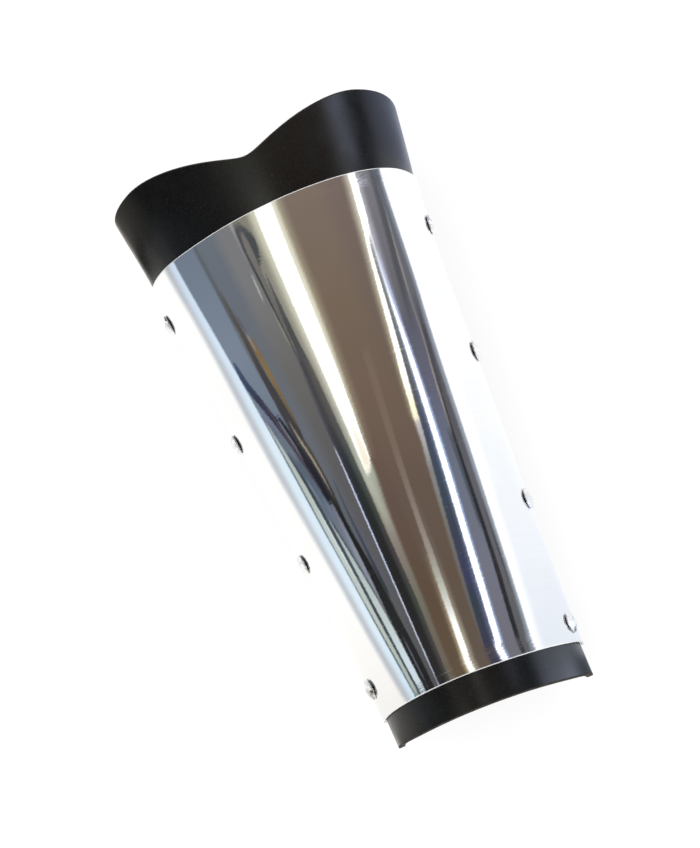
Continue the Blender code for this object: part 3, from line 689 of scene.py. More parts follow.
        Row(5, 82.4, 200, (0.56, 0.59, 0.635)),
        Row(25, 86.6, 200, (0.56, 0.59, 0.64)),
        Row(45, 91.6, 200, (0.54, 0.57, 0.62)),
        Row(92, 94.0, 200, (0.51, 0.545, 0.60)),
    )),
    Panel("right wall", 3.4, 0, 0, (
        Row(-112, 64.0, 200, (1.02, 1.03, 1.05)),
        Row(-75, 73.2, 200, (1.04, 1.05, 1.06)),
        Row(-35, 80.5, 200, (1.06, 1.06, 1.06)),
        Row(5, 87.0, 200, (1.06, 1.06, 1.06)),
        Row(25, 90.6, 200, (1.06, 1.06, 1.06)),
        Row(45, 95.2, 200, (1.06, 1.06, 1.06)),
        Row(65, 96.8, 200, (1.06, 1.06, 1.06)),
        Row(92, 96.6, 200, (1.06, 1.06, 1.06)),
    )),
    Panel("right wall in shade", 14, 0, 0, (
        Row(-112, 74, 200, (0.91, 0.93, 0.96)),
        Row(-75, 83, 200, (0.94, 0.955, 0.98)),
        Row(-35, 92, 200, (0.97, 0.98, 0.99)),
        Row(5, 100, 200, (1.00, 1.00, 1.00)),
        Row(92, 118, 200, (1.00, 1.00, 1.00)),
    )),
)

# Past the plate's two ends the surround is plainer, because the leather mirrors it softly. These
# panels stand in front of the ones above, which go on past them as they are at their ends.
EndPanel = namedtuple("EndPanel", "name start end left right soft tone")
END_SOFT = 5
END_PANELS = (
    EndPanel("elbow left wall", 91, 190, -200, -154, 8, (1.04, 1.02, 0.99)),
    EndPanel("elbow far left wall", 91, 190, -156, -98, 10, (0.54, 0.52, 0.485)),
    EndPanel("elbow far left board", 91, 108, -158, -98, 10, (0.03, 0.03, 0.03)),
    EndPanel("elbow left board", 91, 190, -104, -30, 12, (0.26, 0.26, 0.255)),
    EndPanel("elbow dimmed lamp", 91, 190, -20, 4, 8, (0.66, 0.655, 0.61)),
    EndPanel("elbow brown wall", 91, 190, 8, 54, 8, (0.55, 0.50, 0.455)),
    EndPanel("elbow second lamp", 91, 190, 66, 81, 6, (1.22, 1.28, 1.44)),
    EndPanel("elbow right board", 91, 190, 83, 103, 6, (0.16, 0.17, 0.21)),
    EndPanel("elbow right wall", 91, 190, 104, 200, 10, (0.73, 0.77, 0.88)),
    EndPanel("elbow far right wall", 91, 190, 150, 200, 16, (0.90, 0.93, 1.02)),
    EndPanel("wrist left wall", -190, -113, -200, -144, 16, (1.04, 1.02, 0.99)),
    EndPanel("wrist left wall in shade", -190, -113, -150, -104, 14, (0.62, 0.59, 0.56)),
    EndPanel("wrist left board", -190, -113, -106, -42, 12, (0.30, 0.30, 0.295)),
    EndPanel("wrist low lamp", -190, -113, -38, -24, 6, (1.08, 1.06, 0.98)),
    EndPanel("wrist brown wall", -190, -113, 6, 24, 6, (0.48, 0.455, 0.46)),
    EndPanel("wrist strip shade", -190, -113, 20, 54, 6, (0.30, 0.31, 0.37)),
    EndPanel("wrist right wall", -190, -113, 60, 200, 8, (1.42, 1.51, 1.68)),
    EndPanel("wrist far right wall", -190, -113, 118, 200, 30, (0.49, 0.52, 0.58)),
    EndPanel("elbow outer wall", 150, 190, -200, 200, 1, (0.96, 0.96, 0.96)),
    EndPanel("wrist outer wall", -190, -148, -200, 200, 1, (0.96, 0.96, 0.96)),
)


# ---------------------------------------------------------------- the common surface
def read_table(rows, column, wanted):
    """Value of one column of a table where its first column is `wanted`, on a smooth curve."""
    places = [row[0] for row in rows]
    values = [getattr(row, column) for row in rows]
    last = len(rows) - 1
    index = max(0, min(last - 1, sum(place <= wanted for place in places) - 1))

    def slope(at):
        before = max(0, at - 1)
        after = min(last, at + 1)
        return (values[after] - values[before]) / (places[after] - places[before])

    span = places[index + 1] - places[index]
    share = (wanted - places[index]) / span
    start = values[index] * (2 * share ** 3 - 3 * share ** 2 + 1)
    start_slope = slope(index) * span * (share ** 3 - 2 * share ** 2 + share)
    end = values[index + 1] * (3 * share ** 2 - 2 * share ** 3)
    end_slope = slope(index + 1) * span * (share ** 3 - share ** 2)
    return start + start_slope + end + end_slope


@lru_cache(maxsize=None)
def section_at(along):
    """The arm's half width and its middle line at a place along it."""
    half_width = read_table(STATIONS, "half_width", along)
    return half_width, MIDDLE + read_table(STATIONS, "lean", along)


def surface_point(turn, along):
    """Point on the outer face of the leather."""
    half_width, middle = section_at(along)
    flat_half = half_width * FLAT_SHARE
    side_height = half_width * SIDE_SHARE
    angle = math.radians(abs(turn))
    if abs(turn) <= SIDE_TURN:
        across = half_width * math.sin(angle)
        height = side_height + half_width * CROWN_SHARE * math.cos(angle)
    elif abs(turn) <= FLAT_TURN:
        across = flat_half + (half_width - flat_half) * math.sin(angle)
        height = side_height * (1 + math.cos(angle))
    elif abs(turn) <= SEAM_TURN:
        share = (abs(turn) - FLAT_TURN) / (SEAM_TURN - FLAT_TURN)
        across = flat_half + (BACK_OPENING / 2 - flat_half) * share
        height = 0
    else:
        across = BACK_OPENING / 2 * (CENTRE_TURN - abs(turn)) / (CENTRE_TURN - SEAM_TURN)
        height = 0
    side = 1 if turn > 0 else -1
    return Vector((middle + side * across, along, height + GAP + STRAP))


def surface_normal(turn, along):
    """Outward direction of the leather's outer face."""
    small_turn = 0.5
    small_step = 0.0005
    around = surface_point(turn + small_turn, along) - surface_point(turn - small_turn, along)
    lengthwise = surface_point(turn, along + small_step) - surface_point(turn, along - small_step)
    return around.cross(lengthwise).normalized()


def offset_point(turn, along, outward):
    """Point as far outward from the leather's outer face, or inward where it is below zero."""
    return surface_point(turn, along) + surface_normal(turn, along) * outward


def elbow_edge(turn):
    """Place along the arm of the leather's scalloped elbow edge."""
    from_notch = math.hypot(turn - NOTCH_TURN, NOTCH_ROUND)
    dip = NOTCH_DEPTH * max(0, 1 - from_notch / NOTCH_SPAN) ** NOTCH_POWER
    shoulder = RIGHT_SHOULDER_TURN if turn > 0 else LEFT_SHOULDER_TURN
    full_fall = RIGHT_SHOULDER_FALL if turn > 0 else LEFT_SHOULDER_FALL
    past_shoulder = max(0, abs(turn) - shoulder) / (SEAM_TURN - shoulder)
    fall = full_fall * (1 - math.cos(math.pi * past_shoulder)) / 2
    return ELBOW_END - dip - fall


def wrist_edge(turn):
    """Place along the arm of the leather's wrist edge."""
    side = math.sin(math.radians(max(-SIDE_TURN, min(SIDE_TURN, turn))))
    behind = max(0, -math.cos(math.radians(min(FLAT_TURN, abs(turn)))))
    drawn_back = WRIST_BACK * behind ** WRIST_BACK_POWER
    curve = WRIST_CURVE * abs(side) ** WRIST_CURVE_POWER
    return WRIST_END + curve - WRIST_SKEW * side + drawn_back


def between(start, end, share):
    """Value at a share of the way from a start to an end."""
    return start + (end - start) * share


def smooth_step(low, high, value):
    """Share of the way from low to high, eased in and out, and held at 0 and 1 past them."""
    share = max(0.0, min(1.0, (value - low) / (high - low)))
    return share * share * (3 - 2 * share)


# ---------------------------------------------------------------- mesh helpers
def new_piece(name, mesh, materials):
    """An object of a mesh with its materials, at the origin."""
    piece = bpy.data.objects.new(name, mesh)
    for material in materials:
        mesh.materials.append(material)
    bpy.context.scene.collection.objects.link(piece)
    return piece


def with_border(share, count, border):
    """Share of a grid line, where the first and last cells are as narrow as the border."""
    if not border:
        return share
    if min(share, 1 - share) * count < 0.5:
        return round(share)
    return between(border, 1 - border, (share * count - 1) / (count - 2))


def laid_grid(name, place, columns, rows, border=0):
    """A grid mesh whose points place() lays by their shares across and along."""
    grid = bmesh.new()
    bmesh.ops.create_grid(grid, x_segments=columns, y_segments=rows, size=0.5)
    for vertex in grid.verts:
        across = with_border(vertex.co.x + 0.5, columns, border)
        along = with_border(vertex.co.y + 0.5, rows, border)
        vertex.co = place(across, along)
    mesh = bpy.data.meshes.new(name)
    grid.to_mesh(mesh)
    grid.free()
    return mesh


def apply_modifiers(piece):
    """Leaves the piece's finished mesh with no live modifiers on it."""
    graph = bpy.context.evaluated_depsgraph_get()
    finished = bpy.data.meshes.new_from_object(piece.evaluated_get(graph))
    piece.modifiers.clear()
    piece.data = finished
    piece.data.name = piece.name


def finish_sheet(piece, thickness, edge_round, edge_slot=-1):
    """Gives a laid sheet its thickness inward, rounded edges and smooth faces."""
    piece.data.shade_smooth()
    solidify = piece.modifiers.new("thickness", "SOLIDIFY")
    solidify.thickness = thickness
    solidify.offset = -1
    solidify.use_even_offset = True
    solidify.material_offset = 1
    solidify.material_offset_rim = 2
    bevel = piece.modifiers.new("rounded edges", "BEVEL")
    bevel.width = edge_round
    bevel.segments = 3
    bevel.limit_method = "ANGLE"
    bevel.angle_limit = math.radians(50)
    bevel.profile = 0.5
    bevel.harden_normals = True
    bevel.material = edge_slot
    apply_modifiers(piece)


def frame_on_surface(turn, along):
    """Placement on the leather's outer face whose Z axis points out of it."""
    place = Matrix.Translation(surface_point(turn, along))
    turned = surface_normal(turn, along).to_track_quat("Z", "Y")
    return place @ turned.to_matrix().to_4x4()


# ---------------------------------------------------------------- material helpers
class Nodes:
    """A material's node tree, with short calls for adding and joining its nodes."""

    def __init__(self, name):
        self.material = bpy.data.materials.new(name)
        self.material.use_nodes = True
        self.tree = self.material.node_tree
        self.shader = self.tree.nodes["Principled BSDF"]

    def add(self, kind, settings=None, **inputs):
        """A new node with its settings and inputs, named with _ for each space."""
        node = self.tree.nodes.new(kind)
        for key, value in (settings or {}).items():
            setattr(node, key, value)
        for key, value in inputs.items():
            self.feed(node, key.replace("_", " "), value)
        return node

    def feed(self, node, socket, value):
        """Joins a socket to a node's input, or sets the input to a value."""
        target = node.inputs[int(socket)] if socket.isdigit() else node.inputs[socket]
        if isinstance(value, bpy.types.NodeSocket):
            self.tree.links.new(value, target)
        elif isinstance(value, tuple) and len(value) == 3 and target.type == "RGBA":
            target.default_value = (*value, 1)
        else:
            target.default_value = value

    def coordinates(self, scale):
        """Object coordinates stretched by a scale for each axis."""
        source = self.add("ShaderNodeTexCoord")
        return self.add(
            "ShaderNodeMapping", Vector=source.outputs["Object"], Scale=scale
        ).outputs["Vector"]

    def streaks(self, sizes, detail, roughness=0.5):
        """Grey noise with so many cycles to a metre along each axis."""
        return self.add(
            "ShaderNodeTexNoise", Vector=self.coordinates(sizes), Scale=1.0, Detail=detail,
            Roughness=roughness,
        ).outputs["Fac"]

    def noise(self, size, detail, roughness=0.5):
        """Grey noise with `size` cycles to a metre."""
        return self.streaks((size, size, size), detail, roughness)

    def cells(self, size):
        """Distance from the nearest of scattered points, `size` of them to a metre."""
        return self.add(
            "ShaderNodeTexVoronoi", Vector=self.coordinates((1, 1, 1)), Scale=size
        ).outputs["Distance"]

    def spread(self, value, low, high, to_low=0.0, to_high=1.0):
        """Maps a value from low..high to to_low..to_high."""
        return self.add(
            "ShaderNodeMapRange", {"interpolation_type": "SMOOTHSTEP"}, Value=value,
            From_Min=low, From_Max=high, To_Min=to_low, To_Max=to_high,
        ).outputs["Result"]

    def calculate(self, operation, first, second):
        """Result of a sum on two numbers or sockets."""
        node = self.add("ShaderNodeMath", {"operation": operation})
        self.feed(node, "0", first)
        self.feed(node, "1", second)
        return node.outputs["Value"]

    def mix(self, share, first, second):
        """Colour between two colours."""
        node = self.add("ShaderNodeMix", {"data_type": "RGBA"})
        self.feed(node, "0", share)
        self.feed(node, "6", first)
        self.feed(node, "7", second)
        return node.outputs[2]

    def bump(self, height, distance, strength, normal=None):
        """Normal of small relief, laid over another normal where one is given."""
        node = self.add("ShaderNodeBump", Height=height, Distance=distance, Strength=strength)
        if normal is not None:
            self.feed(node, "Normal", normal)
        return node.outputs["Normal"]

    def set(self, **inputs):
        """Sets the shader's own inputs, named with _ for each space."""
        for key, value in inputs.items():
            self.feed(self.shader, key.replace("_", " "), value)


# ---------------------------------------------------------------- materials
def black_leather():
    """Smooth black hide with a fine pebble, faint creases and a soft sheen."""
    nodes = Nodes("black_leather")
    cloud = nodes.noise(38.0, 4.0)
    tone = nodes.mix(nodes.spread(cloud, 0.35, 0.7), (0.0022, 0.0021, 0.0022), (0.0042, 0.0040, 0.0040))
    grain = nodes.noise(1500.0, 1.0)
    tone = nodes.mix(nodes.spread(grain, 0.50, 0.72), tone, (0.0085, 0.0085, 0.0087))
    pebble = nodes.cells(1250.0)
    pits = nodes.spread(pebble, 0.25, 0.85)
    fine = nodes.noise(2600.0, 2.0)
    crease = nodes.streaks((210, 60, 210), 3.0)
    normal = nodes.bump(crease, 0.00006, 0.25)
    normal = nodes.bump(fine, 0.00002, 0.25, normal)
    normal = nodes.bump(pits, 0.00002, 0.25, normal)
    sheen_map = nodes.noise(90.0, 3.0)
    speck = nodes.cells(170.0)
    dust = nodes.spread(speck, 0.035, 0.060, 1.0, 0.0)
    colour = nodes.mix(nodes.calculate("MULTIPLY", dust, 0.16), tone, (0.20, 0.19, 0.18))
    nodes.set(
        Base_Color=colour,
        Roughness=nodes.spread(sheen_map, 0.3, 0.7, 0.26, 0.33),
        Specular_IOR_Level=0.5,
        Normal=normal,
    )
    return nodes.material


def flesh_side():
    """The leather's dark, napped inner face."""
    nodes = Nodes("leather_flesh_side")
    nap = nodes.noise(900.0, 6.0, 0.7)
    cloud = nodes.noise(60.0, 4.0)
    fibre = nodes.streaks((700, 90, 700), 3.0)
    base = nodes.mix(nodes.spread(cloud, 0.3, 0.7), (0.026, 0.023, 0.021), (0.044, 0.038, 0.034))
    colour = nodes.mix(nodes.spread(nap, 0.35, 0.7), base, (0.060, 0.053, 0.047))
    normal = nodes.bump(fibre, 0.00012, 0.5)
    normal = nodes.bump(nap, 0.00022, 0.7, normal)
    nodes.set(Base_Color=colour, Roughness=0.92, Normal=normal)
    nodes.set(Specular_IOR_Level=0.25, Sheen_Weight=0.25)
    return nodes.material


def cut_edge():
    """The leather's dull cut edge, a little lighter and streaked along the cut."""
    nodes = Nodes("leather_cut_edge")
    layers = nodes.streaks((260, 90, 900), 3.0)
    wear = nodes.noise(140.0, 3.0)
    colour = nodes.mix(nodes.spread(layers, 0.3, 0.7), (0.022, 0.019, 0.017), (0.058, 0.048, 0.040))
    colour = nodes.mix(nodes.spread(wear, 0.62, 0.78), colour, (0.105, 0.085, 0.068))
    normal = nodes.bump(layers, 0.00012, 0.6)
    nodes.set(Base_Color=colour, Roughness=0.7, Specular_IOR_Level=0.1, Normal=normal)
    return nodes.material


def polished_sheet():
    """Mirror-polished aluminium with fine polishing lines that run round the arm."""
    nodes = Nodes("polished_sheet")
    lines = nodes.streaks((10, 2400, 10), 3.0, 0.6)
    wavy = nodes.streaks((460, 800, 460), 3.0, 0.6)
    hairs = nodes.streaks((6, 620, 6), 2.0, 0.5)
    few = nodes.spread(nodes.streaks((12, 900, 12), 0.0), 0.70, 0.74)
    cloud = nodes.noise(34.0, 3.0)
    speck = nodes.cells(120.0)
    dust = nodes.spread(speck, 0.008, 0.018, 1.0, 0.0)
    normal = nodes.bump(hairs, 0.00002, 0.10)
    normal = nodes.bump(wavy, 0.00002, 0.50, normal)
    normal = nodes.bump(lines, 0.00001, 0.14, normal)
    metal = nodes.mix(nodes.spread(cloud, 0.3, 0.7), (0.90, 0.905, 0.915), (0.93, 0.935, 0.94))
    metal = nodes.mix(nodes.spread(lines, 0.40, 0.75, 0.0, 0.25), metal, (0.84, 0.845, 0.85))
    metal = nodes.mix(nodes.calculate("MULTIPLY", dust, 0.6), metal, (0.98, 0.98, 0.98))
    rough = nodes.spread(cloud, 0.3, 0.7, 0.030, 0.045)
    rough = nodes.calculate("ADD", rough, nodes.calculate("MULTIPLY", few, 0.05))
    rough = nodes.calculate("ADD", rough, nodes.calculate("MULTIPLY", dust, 0.40))
    nodes.set(Base_Color=metal, Metallic=1.0, Roughness=rough, Normal=normal)
    return nodes.material


def sheet_edge():
    """The plate's filed and softly polished edge."""
    nodes = Nodes("polished_sheet_edge")
    file_marks = nodes.streaks((900, 260, 900), 2.0)
    rough = nodes.spread(file_marks, 0.3, 0.7, 0.34, 0.46)
    tone = nodes.mix(nodes.spread(file_marks, 0.3, 0.7), (0.92, 0.92, 0.925), (0.96, 0.96, 0.96))
    normal = nodes.bump(file_marks, 0.00003, 0.3)
    nodes.set(Base_Color=tone, Metallic=0.4, Roughness=rough, Normal=normal)
    return nodes.material


def sheet_back():
    """The plate's unpolished underside, as rolled."""
    nodes = Nodes("rolled_sheet_back")
    rolled = nodes.streaks((900, 30, 900), 3.0)
    tone = nodes.mix(nodes.spread(rolled, 0.3, 0.7), (0.60, 0.61, 0.62), (0.72, 0.72, 0.73))
    rough = nodes.spread(rolled, 0.3, 0.7, 0.32, 0.45)
    nodes.set(Base_Color=tone, Metallic=1.0, Roughness=rough)
    return nodes.material


def polished_rivet():
    """Nickelled rivets, worn dull in patches, with fine scratches and a little tarnish."""
    nodes = Nodes("polished_rivet")
    cloud = nodes.noise(420.0, 3.0)
    wear = nodes.noise(480.0, 1.0)
    scratches = nodes.streaks((900, 2600, 900), 2.0)
    tone = nodes.mix(nodes.spread(cloud, 0.50, 0.80), (0.88, 0.88, 0.88), (0.66, 0.58, 0.48))
    rough = nodes.spread(wear, 0.48, 0.58, 0.05, 0.50)
    normal = nodes.bump(scratches, 0.00001, 0.3)
    nodes.set(Base_Color=tone, Metallic=1.0, Roughness=rough, Normal=normal)
    return nodes.material


def studio_floor():
    """A plain white floor with a glow of its own, so that shadows on it stay faint."""
    nodes = Nodes("studio_floor")
    cloud = nodes.noise(3.0, 2.0)
    colour = nodes.mix(cloud, (0.20, 0.20, 0.20), (0.22, 0.22, 0.22))
    nodes.set(Base_Color=colour, Roughness=1.0, Specular_IOR_Level=0.0)
    nodes.set(Emission_Color=(1.0, 1.0, 1.0), Emission_Strength=FLOOR_GLOW)
    nodes.material.cycles.emission_sampling = "NONE"
    return nodes.material


def surround_glow():
    """Plain light of the shade that each point of the surround carries."""
    material = bpy.data.materials.new("studio_surround")
    material.use_nodes = True
    tree = material.node_tree
    tree.nodes.clear()
    shade = tree.nodes.new("ShaderNodeAttribute")
    shade.attribute_name = "shade"
    glow = tree.nodes.new("ShaderNodeEmission")
    output = tree.nodes.new("ShaderNodeOutputMaterial")
    tree.links.new(shade.outputs["Color"], glow.inputs["Color"])
    tree.links.new(glow.outputs["Emission"], output.inputs["Surface"])
    material.cycles.emission_sampling = "NONE"
    return material


# ---------------------------------------------------------------- pieces
def make_leather_base(materials):
    """The leather sleeve, bent round the arm, with its back open."""

    def place(across_share, along_share):
        turn = between(-SEAM_TURN, SEAM_TURN, across_share)
        along = between(wrist_edge(turn), elbow_edge(turn), along_share)
        return surface_point(turn, along)

    mesh = laid_grid("leather_sleeve", place, columns=288, rows=56, border=0.005)
    piece = new_piece("leather_sleeve", mesh, materials)
    finish_sheet(piece, LEATHER, LEATHER_EDGE_ROUND, edge_slot=2)
    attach(piece, "root")
    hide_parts("leather_base")


def make_metal_plate(materials):
    """The polished plate over the sleeve's front and sides."""

    def place(across_share, along_share):
        turn = between(-PLATE_TURN, PLATE_TURN, across_share)
        bottom = read_table(PLATE_ENDS, "bottom", turn)
        along = between(bottom, read_table(PLATE_ENDS, "top", turn), along_share)
        return offset_point(turn, along, GAP + PLATE)

    mesh = laid_grid("mirror_plate", place, columns=190, rows=110, border=0.004)
    piece = new_piece("mirror_plate", mesh, materials)
    finish_sheet(piece, PLATE, PLATE_EDGE_ROUND, edge_slot=2)
    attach(piece, "root")
    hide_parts("metal_plate")


def make_strap(strap, materials):
    """A band under the open back seam, from one side of the sleeve round to the other."""
    reach = CENTRE_TURN - STRAP_END_TURN

    def place(across_share, along_share):
        turn = between(-reach, reach, across_share)
        side = -1 if turn > 0 else 1
        along = strap.along + between(-strap.width / 2, strap.width / 2, along_share)
        return offset_point(side * (CENTRE_TURN - abs(turn)), along, GAP + STRAP)

    mesh = laid_grid(strap.name + "_band", place, columns=120, rows=22)
    piece = new_piece(strap.name + "_band", mesh, materials)
    finish_sheet(piece, STRAP, STRAP_EDGE_ROUND)
    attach(piece, "root")
    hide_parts(strap.name)


def shoulder_radius(tilt):
    """Distance from the rivet's axis to its shoulder, where the shoulder slopes by tilt."""
    return CAP_RADIUS - CAP_ROUND * (1 - math.sin(math.radians(tilt)))


def rivet_profile(sheet_top):
    """Half section of a rivet, (radius, height), from the dome's middle down to the inner cap."""
    top = sheet_top + CAP_CLEARANCE + CAP_RISE
    shoulder_foot = top - CAP_CROWN - CAP_ROUND
    dome_foot = shoulder_foot + CAP_ROUND * math.cos(math.radians(CAP_TILT))
    dome_radius = shoulder_radius(CAP_TILT)
    profile = []
    for share in (0, 0.15, 0.3, 0.45, 0.6, 0.75, 0.88):
        profile.append((dome_radius * share, dome_foot + (top - dome_foot) * (1 - share ** 2)))
    for tilt in (CAP_TILT, 45, 56, 68, 79, 90, 105, 120, 135):
        height = shoulder_foot + CAP_ROUND * math.cos(math.radians(tilt))
        profile.append((shoulder_radius(tilt), height))
    cap_foot = sheet_top + CAP_LIFT
    washer_top = -LEATHER - CAP_CLEARANCE
    washer_foot = washer_top - WASHER_HEIGHT
    profile.append((CAP_RADIUS * CAP_FOOT_SHARE, cap_foot))
    profile.append((SHANK_RADIUS, cap_foot))
    profile.append((SHANK_RADIUS, washer_top))
    profile.append((WASHER_RADIUS * WASHER_TOP_SHARE, washer_top))
    profile.append((WASHER_RADIUS, washer_top - WASHER_CORNER))
    profile.append((WASHER_RADIUS, washer_foot + WASHER_CORNER))
    profile.append((WASHER_RADIUS * WASHER_FOOT_SHARE, washer_foot))
    profile.append((0, washer_foot))
    return profile


def make_rivet(node, along, turn, sheet_top, material):
    """A turned rivet: domed cap outside, shank through the sheets, flat cap inside."""
    turned = bmesh.new()
    points = [
        turned.verts.new((radius, 0, height)) for radius, height in rivet_profile(sheet_top)
    ]
    outline = [turned.edges.new(pair) for pair in zip(points, points[1:])]
    bmesh.ops.spin(
        turned,
        geom=points + outline,
        cent=(0, 0, 0),
        axis=(0, 0, 1),
        angle=math.tau,
        steps=40,
        use_merge=True,
    )
    bmesh.ops.remove_doubles(turned, verts=turned.verts, dist=0.00001)
    bmesh.ops.recalc_face_normals(turned, faces=turned.faces)
    bmesh.ops.transform(turned, matrix=frame_on_surface(turn, along), verts=turned.verts)
    name = node + "_cap"
    mesh = bpy.data.meshes.new(name)
    turned.to_mesh(mesh)
    turned.free()
    mesh.shade_smooth()
    mesh.set_sharp_from_angle(angle=math.radians(40))
    piece = new_piece(name, mesh, [material])
    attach(piece, "root")
    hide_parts(node)


def make_rivets(material):
    """The plate's two rows of rivets and the straps' studs."""
    for rivet in PLATE_RIVETS:
        make_rivet(rivet.name, rivet.along, rivet.turn, GAP + PLATE, material)
    for strap in STRAPS:
        for side, turn in (("right", STUD_TURN), ("left", -STUD_TURN)):
            node = strap.name.replace("strap", "stud") + "_" + side
            make_rivet(node, strap.along, turn, GAP + STRAP, material)


# ---------------------------------------------------------------- the studio
@lru_cache(maxsize=None)
def panels_along(along):
    """Edges, half soft widths, tone and cover of every panel at a place along the arm."""
    found = []
    for panel in PANELS:
        rows = panel.rows
        held = max(PANELS_START, min(PANELS_END, along))
        if rows[0].along <= held <= rows[-1].along:
            cover = 1.0
            if panel.end_soft:
                cover = smooth_step(0, panel.end_soft, held - rows[0].along)
                cover *= smooth_step(0, panel.end_soft, rows[-1].along - held)
            left = read_table(rows, "left", held)
            right = read_table(rows, "right", held)
            after = next(index for index in range(1, len(rows)) if rows[index].along >= held)
            start, end = rows[after - 1], rows[after]
            share = (held - start.along) / (end.along - start.along)
            tone = Vector(start.tone).lerp(Vector(end.tone), share)
            found.append((left, right, panel.left_soft / 2, panel.right_soft / 2, tone, cover))
    for panel in END_PANELS:
        cover = smooth_step(0, END_SOFT, along - panel.start)
        cover *= smooth_step(0, END_SOFT, panel.end - along)
        if cover > 0:
            half = panel.soft / 2
            found.append((panel.left, panel.right, half, half, Vector(panel.tone), cover))
    return found


def surround_tone(angle, along):
    """Tone of the surround where the plate mirrors it at an angle and a place along it."""
    tone = Vector((1, 1, 1))
    for left, right, left_half, right_half, own_tone, cover in panels_along(along):
        if left - left_half < angle < right + right_half:
            share = cover
            if angle < left + left_half:
                share *= smooth_step(left - left_half, left + left_half, angle)
            if angle > right - right_half:
                share *= smooth_step(right + right_half, right - right_half, angle)
            tone = tone.lerp(own_tone, share)
    return tone


def glow_of(tone):
    """Light that the plate mirrors as a tone, by the curve of a display."""
    return [((value + 0.055) / 1.055) ** 2.4 / SHEET_SHINE for value in tone]


def mirrored_place(turn, along):
    """Where the plate mirrors the camera's view to: a point of the surround, and its angle."""
    held = max(PLATE_BOTTOM, min(PLATE_TOP, along))
    start = offset_point(turn, held, GAP + PLATE)
    normal = surface_normal(turn, held)
    sight = (start - CAMERA_PLACE).normalized()
    ray = sight - 2 * sight.dot(normal) * normal
    across = start.x - MIDDLE
    rise = start.z - SURROUND_AXIS_HEIGHT
    square = ray.x ** 2 + ray.z ** 2
    linear = across * ray.x + rise * ray.z
    rest = across ** 2 + rise ** 2 - SURROUND_RADIUS ** 2
    length = (math.sqrt(linear ** 2 - square * rest) - linear) / square
    if start.z + ray.z * length < SURROUND_FOOT:
        length = (SURROUND_FOOT - start.z) / ray.z
    place = start + ray * length
    place.y += along - held
    return place, math.degrees(math.atan2(ray.x, ray.z))


def surround_along(share):
    """Place along the arm of a row of the surround; the rows spread out past the plate."""
    from_middle = 2 * share - 1
    size = abs(from_middle)
    if size <= SURROUND_FINE_SHARE:
        reach = SURROUND_FINE_REACH * size / SURROUND_FINE_SHARE
    else:
        rest = (size - SURROUND_FINE_SHARE) / (1 - SURROUND_FINE_SHARE)
        reach = between(SURROUND_FINE_REACH, SURROUND_REACH, rest ** SURROUND_SPREAD)
    return reach if from_middle > 0 else -reach


def make_surround(side, start_turn, end_turn, material):
    """Half of a half-round screen of panels, seen only in what mirrors it."""
    glows = []

    def place(across_share, along_share):
        turn = between(start_turn, end_turn, across_share)
        along = surround_along(along_share)
        point, angle = mirrored_place(turn, along)
        glows.append(glow_of(surround_tone(angle, 1000 * along)))
        return point

    name = "studio_surround_" + side
    mesh = laid_grid(name, place, columns=SURROUND_COLUMNS, rows=SURROUND_ROWS)
    attribute = mesh.attributes.new("shade", "FLOAT_COLOR", "POINT")
    for point, glow in zip(attribute.data, glows):
        point.color = (*glow, 1)
    mesh.shade_smooth()
    surround = new_piece(name, mesh, [material])
    surround.visible_camera = False
    surround.visible_diffuse = False
    surround.visible_shadow = False
    surround.visible_transmission = False
    surround.visible_volume_scatter = False


def make_floor(material):
    """The white floor that the gauntlet lies on."""
    floor = bmesh.new()
    bmesh.ops.create_circle(floor, cap_ends=True, segments=96, radius=FLOOR_RADIUS)
    mesh = bpy.data.meshes.new("studio_floor")
    floor.to_mesh(mesh)
    floor.free()
    piece = new_piece("studio_floor", mesh, [material])


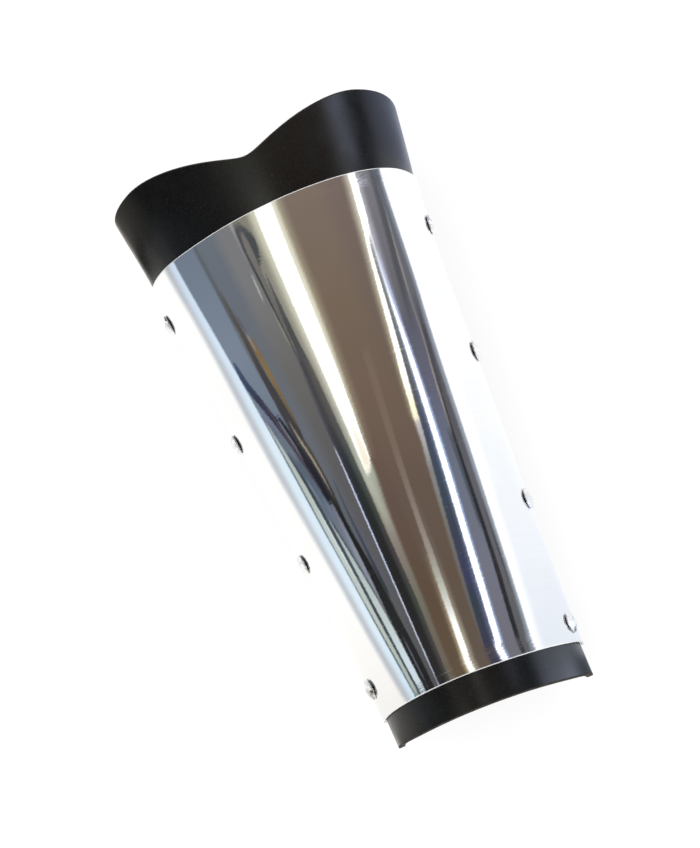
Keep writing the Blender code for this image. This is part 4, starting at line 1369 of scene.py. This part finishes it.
def make_world():
    """Even white light from all round."""
    world = bpy.data.worlds.new("studio_air")
    bpy.context.scene.world = world
    world.use_nodes = True
    background = world.node_tree.nodes["Background"]
    background.inputs["Color"].default_value = (1.0, 1.0, 1.0, 1)
    background.inputs["Strength"].default_value = 1.0


def make_area_light(name, place, size, power):
    """A large soft light on the gauntlet that isn't itself seen in the polished plate."""
    lamp = bpy.data.lights.new(name, "AREA")
    lamp.shape = "DISK"
    lamp.size = size
    lamp.energy = power
    light = bpy.data.objects.new(name, lamp)
    light.location = place
    light.rotation_mode = "QUATERNION"
    light.rotation_quaternion = (-light.location).to_track_quat("-Z", "Y")
    light.visible_glossy = False
    light.visible_camera = False
    bpy.context.scene.collection.objects.link(light)


def make_camera():
    """The camera, aimed at the plate and rolled so that the arm leans."""
    lens = bpy.data.cameras.new("camera")
    lens.lens = CAMERA_LENS
    lens.sensor_width = 36
    lens.sensor_fit = "AUTO"
    lens.clip_start = 0.01
    lens.clip_end = 20
    camera = bpy.data.objects.new("camera", lens)
    forward = (CAMERA_TARGET - CAMERA_PLACE).normalized()
    right = forward.cross(Vector((0, 1, 0))).normalized()
    turned = Matrix.Rotation(math.radians(-CAMERA_ROLL), 3, forward)
    right = turned @ right
    upward = right.cross(forward)
    pose = Matrix((right, upward, -forward)).transposed().to_4x4()
    pose.translation = CAMERA_PLACE
    camera.matrix_world = pose
    bpy.context.scene.collection.objects.link(camera)
    bpy.context.scene.camera = camera


def main():
    """Sets up the studio and makes the gauntlet in it."""
    make_camera()
    make_world()
    make_floor(studio_floor())
    glow = surround_glow()
    make_surround("left", -SURROUND_TURN, 0, glow)
    make_surround("right", 0, SURROUND_TURN, glow)
    make_area_light("overhead_light", place=(-0.5, -0.3, 1.6), size=1.2, power=6)
    outer = black_leather()
    inner = flesh_side()
    edge = cut_edge()
    make_leather_base([outer, inner, edge])
    make_metal_plate([polished_sheet(), sheet_back(), sheet_edge()])
    for strap in STRAPS:
        make_strap(strap, [outer, inner, edge])
    make_rivets(polished_rivet())
    bpy.context.scene.view_settings.view_transform = "Standard"


main()
